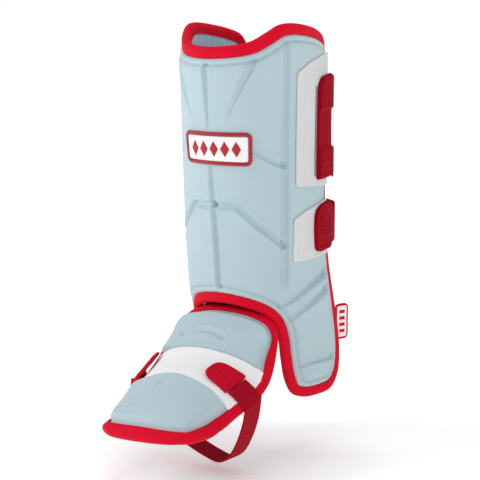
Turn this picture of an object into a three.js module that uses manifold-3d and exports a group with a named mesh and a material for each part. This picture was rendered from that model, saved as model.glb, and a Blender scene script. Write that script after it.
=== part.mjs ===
// Batter's shin guard: a bent padded shell over the shin, two ankle flaps, a domed
// instep and toe guard, bindings, calf straps and a strap that passes under the foot.
//
// Millimetres, +Z up. The toes point toward -Y, and +X is the side that carries the
// fastening tabs. Every bent piece is drawn on a flat pattern first: "across" is a share
// of the half width from the front centre line, "along" a share of the height or length,
// and "out" the distance outside the outer face of the padding.

import * as THREE from 'three';
import Module from 'manifold-3d';

const wasm = await Module();
wasm.setup();

// Driving sizes of the shin part
const SHIN_HEIGHT = 368.5;      // tips of the ankle flaps to the crest of the top rim
const FLAP_CLEARANCE = 46;      // tips of the ankle flaps above the lowest point of the stirrup
const HALF_GIRTH = 180;         // front centre line round to the rear, at the top
const FRONT_REACH = 85;         // leg axis to the front face, at the top
const ARCH_ALONG = 0.265;       // crown of the arch between the flaps, a share of the height
const SHELL_WALL = 9.5;
const LINER_WALL = 2;

// Driving sizes of the foot part
const FOOT_HALF_WIDTH = 66;
const FOOT_LENGTH = 153;        // throat to toe, measured level
const FOOT_RISE = 101;          // throat above the toe edge
const THROAT_GAP = 2.5;         // throat below the crown of the shin part's arch
const TOE_CLEARANCE = FLAP_CLEARANCE + ARCH_ALONG * SHIN_HEIGHT - THROAT_GAP - FOOT_RISE;
const THROAT_REACH = 40;        // leg axis to the throat
const FOOT_WALL = 7;

// Driving sizes of trims, patches and straps
const BINDING_WIDTH = 10.5;
const BINDING_SINK = 3.5;       // outer face of the shin binding below the outer face
const EDGE_BEVEL = 5;
const FOOT_BINDING_SINK = 0.6;
const FOOT_BINDING_DEPTH = 7.8;
const BAND_WALL = 1.4;
const BAND_RECESS = 2.4;
const PATCH_WALL = 1.4;
const TAB_WALL = 2.6;
const ELASTIC_WALL = 1.6;
const UPPER_ELASTIC_WIDTH = 29;
const LOWER_ELASTIC_WIDTH = 38;
const WEBBING_WIDTH = 25;
const WEBBING_WALL = 2;
const NEAR_TAB_WIDTH = 29;
const FAR_TAB_WIDTH = 44;
const FOOT_TAB_WALL = 3.2;
const FOOT_TAB_RADIUS = 10;
const BADGE_BORDER = 3;
const BADGE_WALL = 1.4;
const BADGE_BORDER_WALL = 2;
const HINGE_WALL = 2;
const HINGE_STANDOFF = 7;       // how far the fold of the hinge stands inside the liner
const TAG_LENGTH = 17;
const TAG_HEIGHT = 37;
const TAG_WALL = 1.6;
const TAG_RADIUS = 5;
const TAG_TURN = THREE.MathUtils.degToRad(72);
const PATCH_RADIUS = 4;
const TAB_RADIUS = 6;
const BADGE_RADIUS = 7;
const CLEARANCE = 0.4;          // between faces of pieces that are sewn or pressed together
const SEAM_GAP = 0.8;           // between edges that lie side by side

// The origin is a point on the leg's axis, inside the shin part
const ORIGIN = new THREE.Vector3(0, 5, 250);

const COLOURS = {
  padding: '#b3c7cf',
  mesh: '#bcd3dd',
  binding: '#d80f2f',
  strap: '#b30d2a',
  loop: '#e8e9e9',
};

// Arcs that a level section of the shin part is walked along, from the front to the rear
const SHIN_ARCS = [
  { name: 'front', share: 0.30 },
  { name: 'corner', share: 0.22 },
  { name: 'side', share: 0.24 },
  { name: 'rear', share: 0.24 },
  { name: 'tail', share: 0.20 },
];

// Sections: girth and reach are shares of HALF_GIRTH and FRONT_REACH, and under each
// arc's name stands the angle in degrees that it turns through
const SHIN_SECTIONS = [
  { along: 0, girth: 0.68, reach: 0.592, front: 34, corner: 21, side: 18, rear: 10, tail: 4 },
  { along: 0.39, girth: 0.772, reach: 0.714, front: 29, corner: 35, side: 29, rear: 8, tail: 6 },
  { along: 0.69, girth: 0.867, reach: 0.865, front: 41, corner: 33, side: 23, rear: 11, tail: 26 },
  { along: 1, girth: 0.992, reach: 0.995, front: 54, corner: 30, side: 16, rear: 11, tail: 24 },
];

// Foot sections from throat to toe: width is a share of FOOT_HALF_WIDTH, crown and edge
// are shares of FOOT_RISE, ahead and sweep are shares of FOOT_LENGTH. The brim is the
// stretch next to the side edges. It turns out by flare and down by droop, and the
// whole section is rolled by roll, all shares of FOOT_HALF_WIDTH
const FOOT_SECTIONS = [
  {
    along: 0, width: 0.817, crown: 0.998, edge: 0.84, ahead: 0, sweep: 0.039,
    flare: 0.09, droop: -0.06, roll: 0,
  },
  {
    along: 0.25, width: 0.995, crown: 0.612, edge: 0.335, ahead: 0.325, sweep: 0.119,
    flare: 0.076, droop: -0.03, roll: 0,
  },
  {
    along: 0.5, width: 0.911, crown: 0.48, edge: 0.103, ahead: 0.553, sweep: 0.015,
    flare: 0.076, droop: 0.023, roll: 0.008,
  },
  {
    along: 0.75, width: 0.839, crown: 0.302, edge: 0.02, ahead: 0.781, sweep: 0.103,
    flare: 0.084, droop: 0.076, roll: 0.036,
  },
  {
    along: 1, width: 0.838, crown: 0.02, edge: 0.017, ahead: 0.998, sweep: 0.129,
    flare: 0.131, droop: 0.054, roll: 0.067,
  },
];
const FOOT_ROUNDNESS = 1.09;
const BRIM_FROM = 0.6;          // across, where the brim starts

// Outer edge of the shin part's binding, from the front of the rim round one side
const SHIN_OUTLINE = [
  { across: 0, along: 0.939 },
  { across: 0.138, along: 0.942 },
  { across: 0.276, along: 0.953 },
  { across: 0.381, along: 0.976 },
  { across: 0.47, along: 0.995 },
  { across: 0.57, along: 1 },
  { across: 0.76, along: 0.993 },
  { across: 0.9, along: 0.982 },
  { across: 1, along: 0.967 },
  { across: 1.06, along: 0.937 },
  { across: 1.078, along: 0.885 },
  { across: 1.085, along: 0.6 },
  { across: 1.11, along: 0.38 },
  { across: 1.155, along: 0.28 },
  { across: 1.188, along: 0.19 },
  { across: 1.195, along: 0.12 },
  { across: 1.15, along: 0.05 },
  { across: 1.05, along: 0.012 },
  { across: 0.88, along: 0.002 },
  { across: 0.70, along: 0.004 },
  { across: 0.60, along: 0.018 },
  { across: 0.538, along: 0.057 },
  { across: 0.502, along: 0.115 },
  { across: 0.473, along: 0.177 },
  { across: 0.43, along: 0.214 },
  { across: 0.348, along: 0.239 },
  { across: 0.2, along: 0.257 },
  { across: 0, along: ARCH_ALONG },
];

// The far wing is narrower than the near one: wholly above one level, not at all below another
const FAR_WING = { width: 0.915, from: 0.35, whole: 0.75 };

// Outer edge of the foot part's binding, from the throat round one side to the toe
const FOOT_OUTLINE = [
  { across: 0, along: 0 },
  { across: 0.45, along: 0 },
  { across: 0.73, along: 0.012 },
  { across: 0.895, along: 0.055 },
  { across: 0.95, along: 0.15 },
  { across: 0.955, along: 0.49 },
  { across: 0.944, along: 0.655 },
  { across: 0.94, along: 0.785 },
  { across: 0.874, along: 0.9 },
  { across: 0.77, along: 0.96 },
  { across: 0.563, along: 0.99 },
  { across: 0.3, along: 1 },
  { across: 0, along: 1 },
];

// Moulded channels of the shell, each a path of across and along, cut on both sides
// unless it runs down the middle
const SHIN_CHANNELS = [
  { across: [0, 0], along: [0.935, 0.745], width: 5, depth: 2.5 },
  { across: [0, 0], along: [0.632, 0.28], width: 5, depth: 2.5 },
  { across: [0.28, 0.211, 0.137], along: [0.93, 0.84, 0.765], width: 5, depth: 2.5 },
  { across: [0.497, 0.497], along: [0.99, 0.285], width: 7, depth: 3.5 },
  { across: [0.295, 0.376, 0.5], along: [0.674, 0.655, 0.636], width: 5, depth: 2.5 },
  { across: [0, 0.165, 0.2, 0.309, 0.5], along: [0.531, 0.531, 0.521, 0.483, 0.42], width: 5, depth: 2.5 },
  {
    across: [0.42, 0.485, 0.741, 0.949, 1.1],
    along: [0.255, 0.267, 0.312, 0.333, 0.343], width: 10, depth: 4,
  },
  {
    across: [0.5, 0.568, 0.686, 0.989, 1.15],
    along: [0.21, 0.229, 0.252, 0.291, 0.308], width: 10, depth: 4,
  },
  { across: [0.66, 0.837, 1.2], along: [0.094, 0.1, 0.1], width: 6, depth: 3 },
];

// Corners of the pieces that lie on the shin part, on the +X side
const UPPER_PATCH = [
  { across: 0.58, along: 0.58 },
  { across: 0.58, along: 0.875 },
  { across: 0.71, along: 0.9 },
  { across: 1, along: 0.925 },
  { across: 1, along: 0.567 },
];
const LOWER_PATCH = [
  { across: 0.559, along: 0.38 },
  { across: 0.564, along: 0.495 },
  { across: 0.674, along: 0.514 },
  { across: 1, along: 0.535 },
  { across: 1, along: 0.385 },
];
const UPPER_TAB = [
  { across: 0.79, along: 0.589 },
  { across: 0.793, along: 0.831 },
  { across: 0.84, along: 0.859 },
  { across: 1.06, along: 0.867 },
  { across: 1.06, along: 0.589 },
];
const LOWER_TAB = [
  { across: 0.775, along: 0.404 },
  { across: 0.762, along: 0.47 },
  { across: 0.777, along: 0.508 },
  { across: 0.85, along: 0.522 },
  { across: 1.04, along: 0.53 },
  { across: 1.04, along: 0.398 },
  { across: 0.85, along: 0.396 },
];
const BADGE = [
  { across: -0.2, along: 0.645 },
  { across: -0.2, along: 0.725 },
  { across: 0.26, along: 0.725 },
  { across: 0.26, along: 0.645 },
];

// The band across the foot and the tabs of the strap under it. A tab reaches from and to
// shares across. Its free end stands off by lift millimetres and the whole of it by stay,
// and bow keeps its two ends as far from the curved foot as a flat plate would be
const BAND_FROM = 0.214;
const BAND_TO = 0.503;
const FOOT_TABS = {
  near: { side: 1, from: 0.265, to: 0.615, along: 0.368, width: NEAR_TAB_WIDTH, lift: 3, stay: 0, bow: 0 },
  far: { side: -1, from: 0.6, to: 0.88, along: 0.345, width: FAR_TAB_WIDTH, lift: 0, stay: 3.5, bow: 1.4 },
};
const STIRRUP_LEAVES = 0.95;    // across, where the strap leaves the edge of the foot part

// Where the elastic straps start on the tabs and end on the far side
const UPPER_ELASTIC_START = 0.84;
const ELASTIC_END = -0.86;
const UPPER_ELASTICS = [
  { name: 'calf_strap_top', level: 0.816 },
  { name: 'calf_strap_middle', level: 0.625 },
];
const LOWER_ELASTIC_LEVEL = 0.462;
const REAR_EDGE = 1.09;         // where an elastic leaves the shell
const BACKSTEP = 0.09;          // over which its direction there is taken
const CALF_FULLNESS = 0.44;     // handle of the curve behind the calf, a share of its width

// The label in the rear of the +X ankle flap, and the fabric inside the front of the ankle
const TAG_ALONG = 0.183;
const TAG_ACROSS = 1.197;
const HINGE_REACH = 0.3;        // half width on the shin part
const HINGE_FOOT_REACH = 0.62;  // half width on the foot part
const HINGE_TOP = 0.34;
const HINGE_FOLD = { outer: 0.262, inner: 0.255, start: 0.285 };
const HINGE_FOOT_DEPTH = 0.1;

// The free loop of the stirrup, from the +X edge of the foot to the other: sideways and
// drop are shares of FOOT_HALF_WIDTH and of the edge's height, ahead is a share of FOOT_LENGTH
const STIRRUP_LOOP = [
  { sideways: 0.97, ahead: -0.012, drop: 0.28 },
  { sideways: 0.83, ahead: -0.03, drop: 0.62 },
  { sideways: 0.64, ahead: -0.05, drop: 0.9 },
  { sideways: 0.46, ahead: -0.055, drop: 1 },
  { sideways: 0.2, ahead: -0.045, drop: 0.93 },
  { sideways: -0.25, ahead: -0.02, drop: 0.7 },
  { sideways: -0.72, ahead: 0, drop: 0.42 },
  { sideways: -1.02, ahead: 0, drop: 0.15 },
];

// Meshing
const SHIN_CELL = 13;
const FOOT_CELL = 11;
const SHIN_EASE = 3;            // cells may be this much taller, where the surface is straight
const NEAREST_CELL = 0.3;       // how near the outline the next corner may lie, in cells
const MOST_PASSES = 60;
const ON_SHELL_STEPS = 4;
const CALF_STEPS = 14;
const STIRRUP_STEPS = 24;
const HINGE_STEPS = 12;
const PROBE = 0.001;
const OVERCUT = 1;

// Even steps from one value to another
function steps(from, to, count) {
  return Array.from({ length: count + 1 }, (_, i) => from + ((to - from) * i) / count);
}

// Reads a table of sections as smooth functions of its first column
function reader(table) {
  const columns = Object.keys(table[0]).slice(1);
  const places = table.map((row) => row.along);
  const values = table.flatMap((row) => columns.map((name) => row[name]));
  const smooth = new THREE.CubicInterpolant(places, Float64Array.from(values), columns.length);
  return (along) => {
    const row = smooth.evaluate(along);
    return Object.fromEntries(columns.map((name, i) => [name, row[i]]));
  };
}

const shinSection = reader(SHIN_SECTIONS);
const footSection = reader(FOOT_SECTIONS);

// Outer face of the shin part: a walk along arcs at one level
function shinPoint(across, along) {
  const section = shinSection(along);
  const side = Math.sign(across);
  let left = Math.abs(across);
  let heading = 0;
  let x = 0;
  let y = -FRONT_REACH * section.reach;
  SHIN_ARCS.forEach((arc, i) => {
    const last = i === SHIN_ARCS.length - 1;
    const walked = last ? Math.max(left, 0) : THREE.MathUtils.clamp(left, 0, arc.share);
    const turn = THREE.MathUtils.degToRad(section[arc.name]);
    const radius = (arc.share * HALF_GIRTH * section.girth) / turn;
    const next = heading + (turn * walked) / arc.share;
    x += radius * (Math.sin(next) - Math.sin(heading));
    y += radius * (Math.cos(heading) - Math.cos(next));
    heading = next;
    left -= arc.share;
  });
  return new THREE.Vector3(side * x, y, FLAP_CLEARANCE + along * SHIN_HEIGHT);
}

// Outer face of the foot part: a rounded arch whose sides sweep back and end in a brim
function footPoint(across, along) {
  const section = footSection(along);
  const angle = (across * Math.PI) / 2;
  const sideways = Math.sign(angle) * Math.abs(Math.sin(angle)) ** FOOT_ROUNDNESS;
  const crown = Math.abs(Math.cos(angle)) ** FOOT_ROUNDNESS;
  const brim = (Math.max(Math.abs(across) - BRIM_FROM, 0) / (1 - BRIM_FROM)) ** 2;
  const flared = section.width * sideways + Math.sign(across) * section.flare * brim;
  const lowered = section.droop * brim - section.roll * across;
  const y = -THROAT_REACH - FOOT_LENGTH * (section.ahead - section.sweep * (1 - crown));
  const z = TOE_CLEARANCE + FOOT_RISE * (section.edge + (section.crown - section.edge) * crown)
    - FOOT_HALF_WIDTH * lowered;
  return new THREE.Vector3(FOOT_HALF_WIDTH * flared, y, z);
}

// Length of a line on a surface, found by adding short chords
function lineLength(pointAt) {
  const chords = 24;
  let total = 0;
  for (let i = 0; i < chords; i += 1) {
    total += pointAt(i / chords).distanceTo(pointAt((i + 1) / chords));
  }
  return total;
}

const shin = {
  point: shinPoint,
  width: (along) => HALF_GIRTH * shinSection(along).girth,
  length: SHIN_HEIGHT,
  reach: Infinity,
  facing: 1,
  cell: SHIN_CELL,
  ease: SHIN_EASE,
};

const foot = {
  point: footPoint,
  width: (along) => lineLength((share) => footPoint(share, along)),
  length: lineLength((share) => footPoint(0.5, share)),
  reach: 1 - 2 * PROBE,
  facing: -1,
  cell: FOOT_CELL,
  ease: 1,
};

// A point of a piece: across and along on the surface, then straight out of it
function place(surface, across, along, out) {
  const a = THREE.MathUtils.clamp(across, -surface.reach, surface.reach);
  const b = THREE.MathUtils.clamp(along, PROBE, 1 - PROBE);
  const sideways = surface.point(a + PROBE, b).sub(surface.point(a - PROBE, b));
  const onward = surface.point(a, b + PROBE).sub(surface.point(a, b - PROBE));
  const normal = sideways.cross(onward).normalize().multiplyScalar(surface.facing * out);
  return surface.point(across, along).add(normal);
}

// Outlines on the flat pattern

function area(outline) {
  return THREE.ShapeUtils.area(outline.map((p) => new THREE.Vector2(p.across, p.along)));
}

// Moves an outline inward by a true distance
function inset(surface, outline, distance) {
  const turn = Math.sign(area(outline));
  return outline.map((p, i) => {
    const before = outline.at(i - 1);
    const after = outline[(i + 1) % outline.length];
    const width = surface.width(p.along);
    const run = new THREE.Vector2((after.across - before.across) * width,
      (after.along - before.along) * surface.length).normalize();
    return {
      across: p.across - (turn * run.y * distance) / width,
      along: p.along + (turn * run.x * distance) / surface.length,
    };
  });
}

// A smooth outline through one half's points, mirrored, with more points where it turns
function smoothOutline(surface, half) {
  const fine = 4;
  const longest = 16;
  const sharpest = THREE.MathUtils.degToRad(15);
  const width = surface.width(0.5);
  const there = half.map((p) => new THREE.Vector3(p.across * width, p.along * surface.length, 0));
  const back = there.slice(1, -1).reverse().map((p) => new THREE.Vector3(-p.x, p.y, 0));
  const curve = new THREE.CatmullRomCurve3([...there, ...back], true, 'centripetal');
  const last = Math.round(curve.getLength() / fine / 2);
  const samples = curve.getSpacedPoints(2 * last).slice(0, last + 1);
  const kept = [samples[0]];
  let turned = 0;
  for (let i = 1; i < last; i += 1) {
    const before = samples[i].clone().sub(samples[i - 1]);
    const after = samples[i + 1].clone().sub(samples[i]);
    turned += before.angleTo(after);
    if (turned > sharpest || samples[i + 1].distanceTo(kept.at(-1)) > longest) {
      kept.push(samples[i]);
      turned = 0;
    }
  }
  kept.push(samples[last]);
  const side = kept.map((p) => ({ across: p.x / width, along: p.y / surface.length }));
  side[0].across = 0;
  side.at(-1).across = 0;
  const mirror = side.slice(1, -1).reverse().map((p) => ({ across: -p.across, along: p.along }));
  return [...side, ...mirror];
}

// An outline with straight sides and rounded corners
function roundedOutline(surface, corners, radius) {
  const arcs = 3;
  const width = surface.width(corners[0].along);
  const flat = corners.map((p) => new THREE.Vector2(p.across * width, p.along * surface.length));
  return flat.flatMap((corner, i) => {
    const toward = (other) => {
      const reach = Math.min(corners[i].radius ?? radius, corner.distanceTo(other) / 2.5);
      return corner.clone().add(other.clone().sub(corner).setLength(reach));
    };
    const from = toward(flat.at(i - 1));
    const to = toward(flat[(i + 1) % flat.length]);
    return new THREE.QuadraticBezierCurve(from, corner, to).getPoints(arcs)
      .map((p) => ({ across: p.x / width, along: p.y / surface.length }));
  });
}

// Closed bodies

function signedVolume(points, triangles) {
  return triangles.reduce((sum, [a, b, c]) => sum + points[a].dot(points[b].clone().cross(points[c])), 0);
}

function bodyGeometry(points, triangles) {
  const outward = signedVolume(points, triangles) > 0;
  const geometry = new THREE.BufferGeometry();
  geometry.setAttribute('position',
    new THREE.Float32BufferAttribute(points.flatMap((p) => p.toArray()), 3));
  geometry.setIndex(triangles.flatMap(([a, b, c]) => (outward ? [a, b, c] : [a, c, b])));
  geometry.computeVertexNormals();
  return geometry;
}

// Two triangles over four corners, split the shorter way
function quad(points, a, b, c, d) {
  const split = points[a].distanceTo(points[c]) < points[b].distanceTo(points[d]);
  return split ? [[a, b, c], [a, c, d]] : [[a, b, d], [b, c, d]];
}

// Triangles across a section, taken in turn from its two ends
function capped(count) {
  const triangles = [];
  let low = 0;
  for (let high = count - 1; high - low > 1; high -= 1) {
    triangles.push([low, low + 1, high]);
    low += 1;
    if (high - low > 1) {
      triangles.push([low, high - 1, high]);
    }
  }
  return triangles;
}

// A body through matching sections, closed on itself or capped at both ends
function sweptBody(sections, closed) {
  const count = sections[0].length;
  const points = sections.flat();
  const triangles = [];
  const spans = closed ? sections.length : sections.length - 1;
  for (let i = 0; i < spans; i += 1) {
    const here = i * count;
    const there = ((i + 1) % sections.length) * count;
    for (let j = 0; j < count; j += 1) {
      const k = (j + 1) % count;
      triangles.push(...quad(points, here + j, here + k, there + k, there + j));
    }
  }
  if (!closed) {
    const last = (sections.length - 1) * count;
    capped(count).forEach(([a, b, c]) => triangles.push([a, c, b], [last + a, last + b, last + c]));
  }
  return bodyGeometry(points, triangles);
}

// Bent sheets

// The flat pattern in true millimetres near the middle, squeezed along the straight way
function patternPoint(surface, p) {
  return new THREE.Vector2(p.across * surface.width(0.5), (p.along * surface.length) / surface.ease);
}

// Points from one to the next, without the next, close enough to bend with the surface
function between(surface, from, to) {
  const gap = patternPoint(surface, from).distanceTo(patternPoint(surface, to));
  const parts = Math.max(1, Math.round(gap / surface.cell));
  return steps(0, 1, parts).slice(0, parts).map((share) => ({
    across: THREE.MathUtils.lerp(from.across, to.across, share),
    along: THREE.MathUtils.lerp(from.along, to.along, share),
  }));
}

function divided(surface, outline) {
  return outline.flatMap((p, i) => between(surface, p, outline[(i + 1) % outline.length]));
}

function dividedPath(surface, path) {
  return [...path.slice(1).flatMap((p, i) => between(surface, path[i], p)), path.at(-1)];
}

// Distance on the flat pattern from a point to an outline, and whether it lies inside
function toOutline(outline, here) {
  let nearest = Infinity;
  let inside = false;
  outline.forEach((a, i) => {
    const b = outline[(i + 1) % outline.length];
    const side = b.clone().sub(a);
    const share = THREE.MathUtils.clamp(here.clone().sub(a).dot(side) / side.lengthSq(), 0, 1);
    nearest = Math.min(nearest, a.clone().addScaledVector(side, share).distanceTo(here));
    if (a.y > here.y !== b.y > here.y && here.x < a.x + (side.x * (here.y - a.y)) / side.y) {
      inside = !inside;
    }
  });
  return inside ? nearest : -nearest;
}

// Triangles over the first points, which are the outline, split at the points inside it
function filled(flat, ringCount) {
  const doubled = ([a, b, c]) => flat[b].clone().sub(flat[a]).cross(flat[c].clone().sub(flat[a]));
  const rough = THREE.ShapeUtils.triangulateShape(flat.slice(0, ringCount), []);
  const facing = rough.reduce((sum, corners) => sum + doubled(corners), 0);
  const triangles = rough.map(([a, b, c]) => (facing > 0 ? [a, b, c] : [b, a, c]));
  const used = new Set(triangles.flat());
  flat.forEach((here, i) => {
    if (used.has(i)) {
      return;
    }
    const depth = triangles.map((corners) => Math.min(...[0, 1, 2]
      .map((k) => doubled([corners[k], corners[(k + 1) % 3], i]))) / Math.max(doubled(corners), PROBE));
    const home = depth.indexOf(Math.max(...depth));
    const [a, b, c] = triangles[home];
    const least = i < ringCount ? PROBE : -Infinity;
    const split = [[a, b, i], [b, c, i], [c, a, i]].filter((corners) => doubled(corners) > least);
    triangles.splice(home, 1, ...split);
  });
  return triangles;
}

// Turns the shared side of two flat triangles wherever that makes them less slender
function evenOut(flat, triangles) {
  const angle = (a, b, c) => {
    const u = flat[b].clone().sub(flat[a]);
    const v = flat[c].clone().sub(flat[a]);
    return Math.atan2(Math.abs(u.cross(v)), u.dot(v));
  };
  const leftOf = (a, b, c) => flat[b].clone().sub(flat[a]).cross(flat[c].clone().sub(flat[a])) > 0;
  for (let pass = 0, turned = true; turned && pass < MOST_PASSES; pass += 1) {
    turned = false;
    const owners = new Map();
    triangles.forEach(([a, b, c], t) => {
      owners.set(`${a},${b}`, t).set(`${b},${c}`, t).set(`${c},${a}`, t);
    });
    const touched = new Set();
    [...owners].forEach(([key, t]) => {
      const [a, b] = key.split(',').map(Number);
      const u = owners.get(`${b},${a}`);
      if (u === undefined || touched.has(t) || touched.has(u)) {
        return;
      }
      const c = triangles[t].find((corner) => corner !== a && corner !== b);
      const d = triangles[u].find((corner) => corner !== a && corner !== b);
      const slender = angle(c, a, b) + angle(d, a, b) > Math.PI + PROBE;
      if (slender && leftOf(a, d, c) && leftOf(d, b, c)) {
        triangles[t] = [a, d, c];
        triangles[u] = [d, b, c];
        touched.add(t).add(u);
        turned = true;
      }
    });
  }
  return triangles;
}

// A closed sheet inside an outline, bent onto its surface, with a bevelled outer face
function sheet(surface, outline, outer, inner, { bevelWidth = 0, bevelDepth = 0, lift = () => 0 } = {}) {
  const ring = divided(surface, area(outline) > 0 ? outline : [...outline].reverse());
  const flatRing = ring.map((p) => patternPoint(surface, p));
  const bevelRing = bevelWidth ? inset(surface, ring, bevelWidth) : [];
  const pitch = surface.cell;
  const box = new THREE.Box2().setFromPoints(flatRing);
  const inward = bevelWidth + pitch * NEAREST_CELL;
  const inside = [];
  for (let i = Math.ceil(box.min.x / pitch); i * pitch < box.max.x; i += 1) {
    for (let j = Math.ceil(box.min.y / pitch); j * pitch < box.max.y; j += 1) {
      const here = new THREE.Vector2(i * pitch, j * pitch);
      if (toOutline(flatRing, here) > inward) {
        inside.push({
          across: here.x / surface.width(0.5),
          along: (here.y * surface.ease) / surface.length,
        });
      }
    }
  }
  const pattern = [...ring, ...bevelRing, ...inside];
  const flat = pattern.map((p) => patternPoint(surface, p));
  const count = pattern.length;
  const even = evenOut(flat, filled(flat, ring.length));
  const sunk = (i) => (bevelWidth && i < ring.length ? bevelDepth : 0);
  const points = [(i) => outer - sunk(i), () => inner]
    .flatMap((out) => pattern.map((p, i) => place(surface, p.across, p.along, out(i) + lift(p))));
  const triangles = even.flatMap(([a, b, c]) => [[a, b, c], [count + b, count + a, count + c]]);
  for (let i = 0; i < ring.length; i += 1) {
    const j = (i + 1) % ring.length;
    triangles.push(...quad(points, i, count + i, count + j, j));
  }
  return bodyGeometry(points, triangles);
}

// Cutting

function toSolid(geometry) {
  const points = geometry.getAttribute('position');
  return new wasm.Manifold(new wasm.Mesh({
    numProp: 3,
    vertProperties: Float32Array.from(points.array),
    triVerts: Uint32Array.from(geometry.getIndex().array),
  }));
}

function fromSolid(solid) {
  const made = solid.getMesh();
  const geometry = new THREE.BufferGeometry();
  geometry.setAttribute('position', new THREE.Float32BufferAttribute(made.vertProperties, made.numProp));
  geometry.setIndex([...made.triVerts]);
  geometry.computeVertexNormals();
  return geometry;
}

function cutBy(geometry, cutters) {
  return fromSolid(cutters.reduce((solid, cutter) => solid.subtract(toSolid(cutter)), toSolid(geometry)));
}

// A V-shaped channel along a path on a surface
function channel(surface, path, width, depth) {
  const fine = dividedPath(surface, path);
  const half = ((width / 2) * (depth + OVERCUT)) / depth;
  return sweptBody(fine.map((p, i) => {
    const before = fine[Math.max(i - 1, 0)];
    const after = fine[Math.min(i + 1, fine.length - 1)];
    const scale = surface.width(p.along);
    const run = new THREE.Vector2((after.across - before.across) * scale,
      (after.along - before.along) * surface.length).normalize();
    const beside = (shift) => place(surface, p.across - (run.y * shift) / scale,
      p.along + (run.x * shift) / surface.length, OVERCUT);
    return [beside(-half), beside(half), place(surface, p.across, p.along, -depth)];
  }), false);
}

// A binding with a round outer side, swept round an outline
function binding(surface, outline, sink, depth) {
  const round = depth / 2;
  const chamfer = round * (1 - Math.SQRT1_2);
  const profile = [
    { inward: BINDING_WIDTH, out: 0 },
    { inward: round, out: 0 },
    { inward: chamfer, out: -chamfer },
    { inward: 0, out: -round },
    { inward: chamfer, out: chamfer - depth },
    { inward: round, out: -depth },
    { inward: BINDING_WIDTH, out: -depth },
  ];
  const rings = profile.map(({ inward, out }) => inset(surface, outline, inward)
    .map((p) => place(surface, p.across, p.along, out - sink)));
  return sweptBody(outline.map((_, i) => rings.map((ring) => ring[i])), true);
}

// Shin part

function onFarWing({ across, along }) {
  const share = THREE.MathUtils.smoothstep(along, FAR_WING.from, FAR_WING.whole);
  return { across: across < 0 ? across * (1 - share * (1 - FAR_WING.width)) : across, along };
}

const shinOutline = smoothOutline(shin, SHIN_OUTLINE).map(onFarWing);
const shellOutline = inset(shin, shinOutline, BINDING_WIDTH + SEAM_GAP);

function channelPaths({ across, along }) {
  const path = across.map((share, i) => ({ across: share, along: along[i] }));
  const mirrored = path.map((p) => ({ across: -p.across, along: p.along }));
  if (across.every((share) => share === 0)) {
    return [path];
  }
  return across[0] === 0 ? [[...mirrored.reverse(), ...path.slice(1)]] : [path, mirrored];
}

const SHELL_EDGE = { bevelWidth: EDGE_BEVEL, bevelDepth: BINDING_SINK };

function shinShell() {
  const plain = sheet(shin, shellOutline, 0, -SHELL_WALL, SHELL_EDGE);
  return cutBy(plain, SHIN_CHANNELS.flatMap((row) => channelPaths(row)
    .map((path) => channel(shin, path, row.width, row.depth))));
}

const LINER_OUT = -SHELL_WALL - CLEARANCE;
const LINER_IN = LINER_OUT - LINER_WALL;

function shinLiner() {
  return sheet(shin, shellOutline, LINER_OUT, LINER_IN, { ...SHELL_EDGE, bevelDepth: 0 });
}

function shinBinding() {
  return binding(shin, shinOutline, BINDING_SINK, -LINER_IN - BINDING_SINK);
}

// Pieces stacked on the outer face
const PATCH_OUT = CLEARANCE + PATCH_WALL;
const TAB_IN = PATCH_OUT + CLEARANCE;
const TAB_OUT = TAB_IN + TAB_WALL;

function patch(corners) {
  return sheet(shin, roundedOutline(shin, corners, PATCH_RADIUS), PATCH_OUT, CLEARANCE);
}

function hookTab(corners) {
  return sheet(shin, roundedOutline(shin, corners, TAB_RADIUS), TAB_OUT, TAB_IN);
}

function badgeBorder() {
  const outline = roundedOutline(shin, BADGE, BADGE_RADIUS);
  const hole = sheet(shin, inset(shin, outline, BADGE_BORDER), CLEARANCE + BADGE_BORDER_WALL + OVERCUT, 0);
  return cutBy(sheet(shin, outline, CLEARANCE + BADGE_BORDER_WALL, CLEARANCE), [hole]);
}

function badgeField() {
  const outline = roundedOutline(shin, BADGE, BADGE_RADIUS);
  const edge = inset(shin, outline, BADGE_BORDER + CLEARANCE);
  return sheet(shin, edge, CLEARANCE + BADGE_WALL, CLEARANCE);
}

// Four corners of a strap's section on a surface
function surfaceSection(surface, across, along, halfWidth, inner, outer) {
  const half = halfWidth / surface.length;
  return [
    place(surface, across, along - half, inner),
    place(surface, across, along + half, inner),
    place(surface, across, along + half, outer),
    place(surface, across, along - half, outer),
  ];
}

// Four corners of a free strap's section: middle, direction of the width, outward side
function freeSection(middle, widthwise, outward, width, wall) {
  const corner = (w, t) => middle.clone().addScaledVector(widthwise, (w * width) / 2)
    .addScaledVector(outward, (t * wall) / 2);
  return [corner(-1, -1), corner(1, -1), corner(1, 1), corner(-1, 1)];
}

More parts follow.
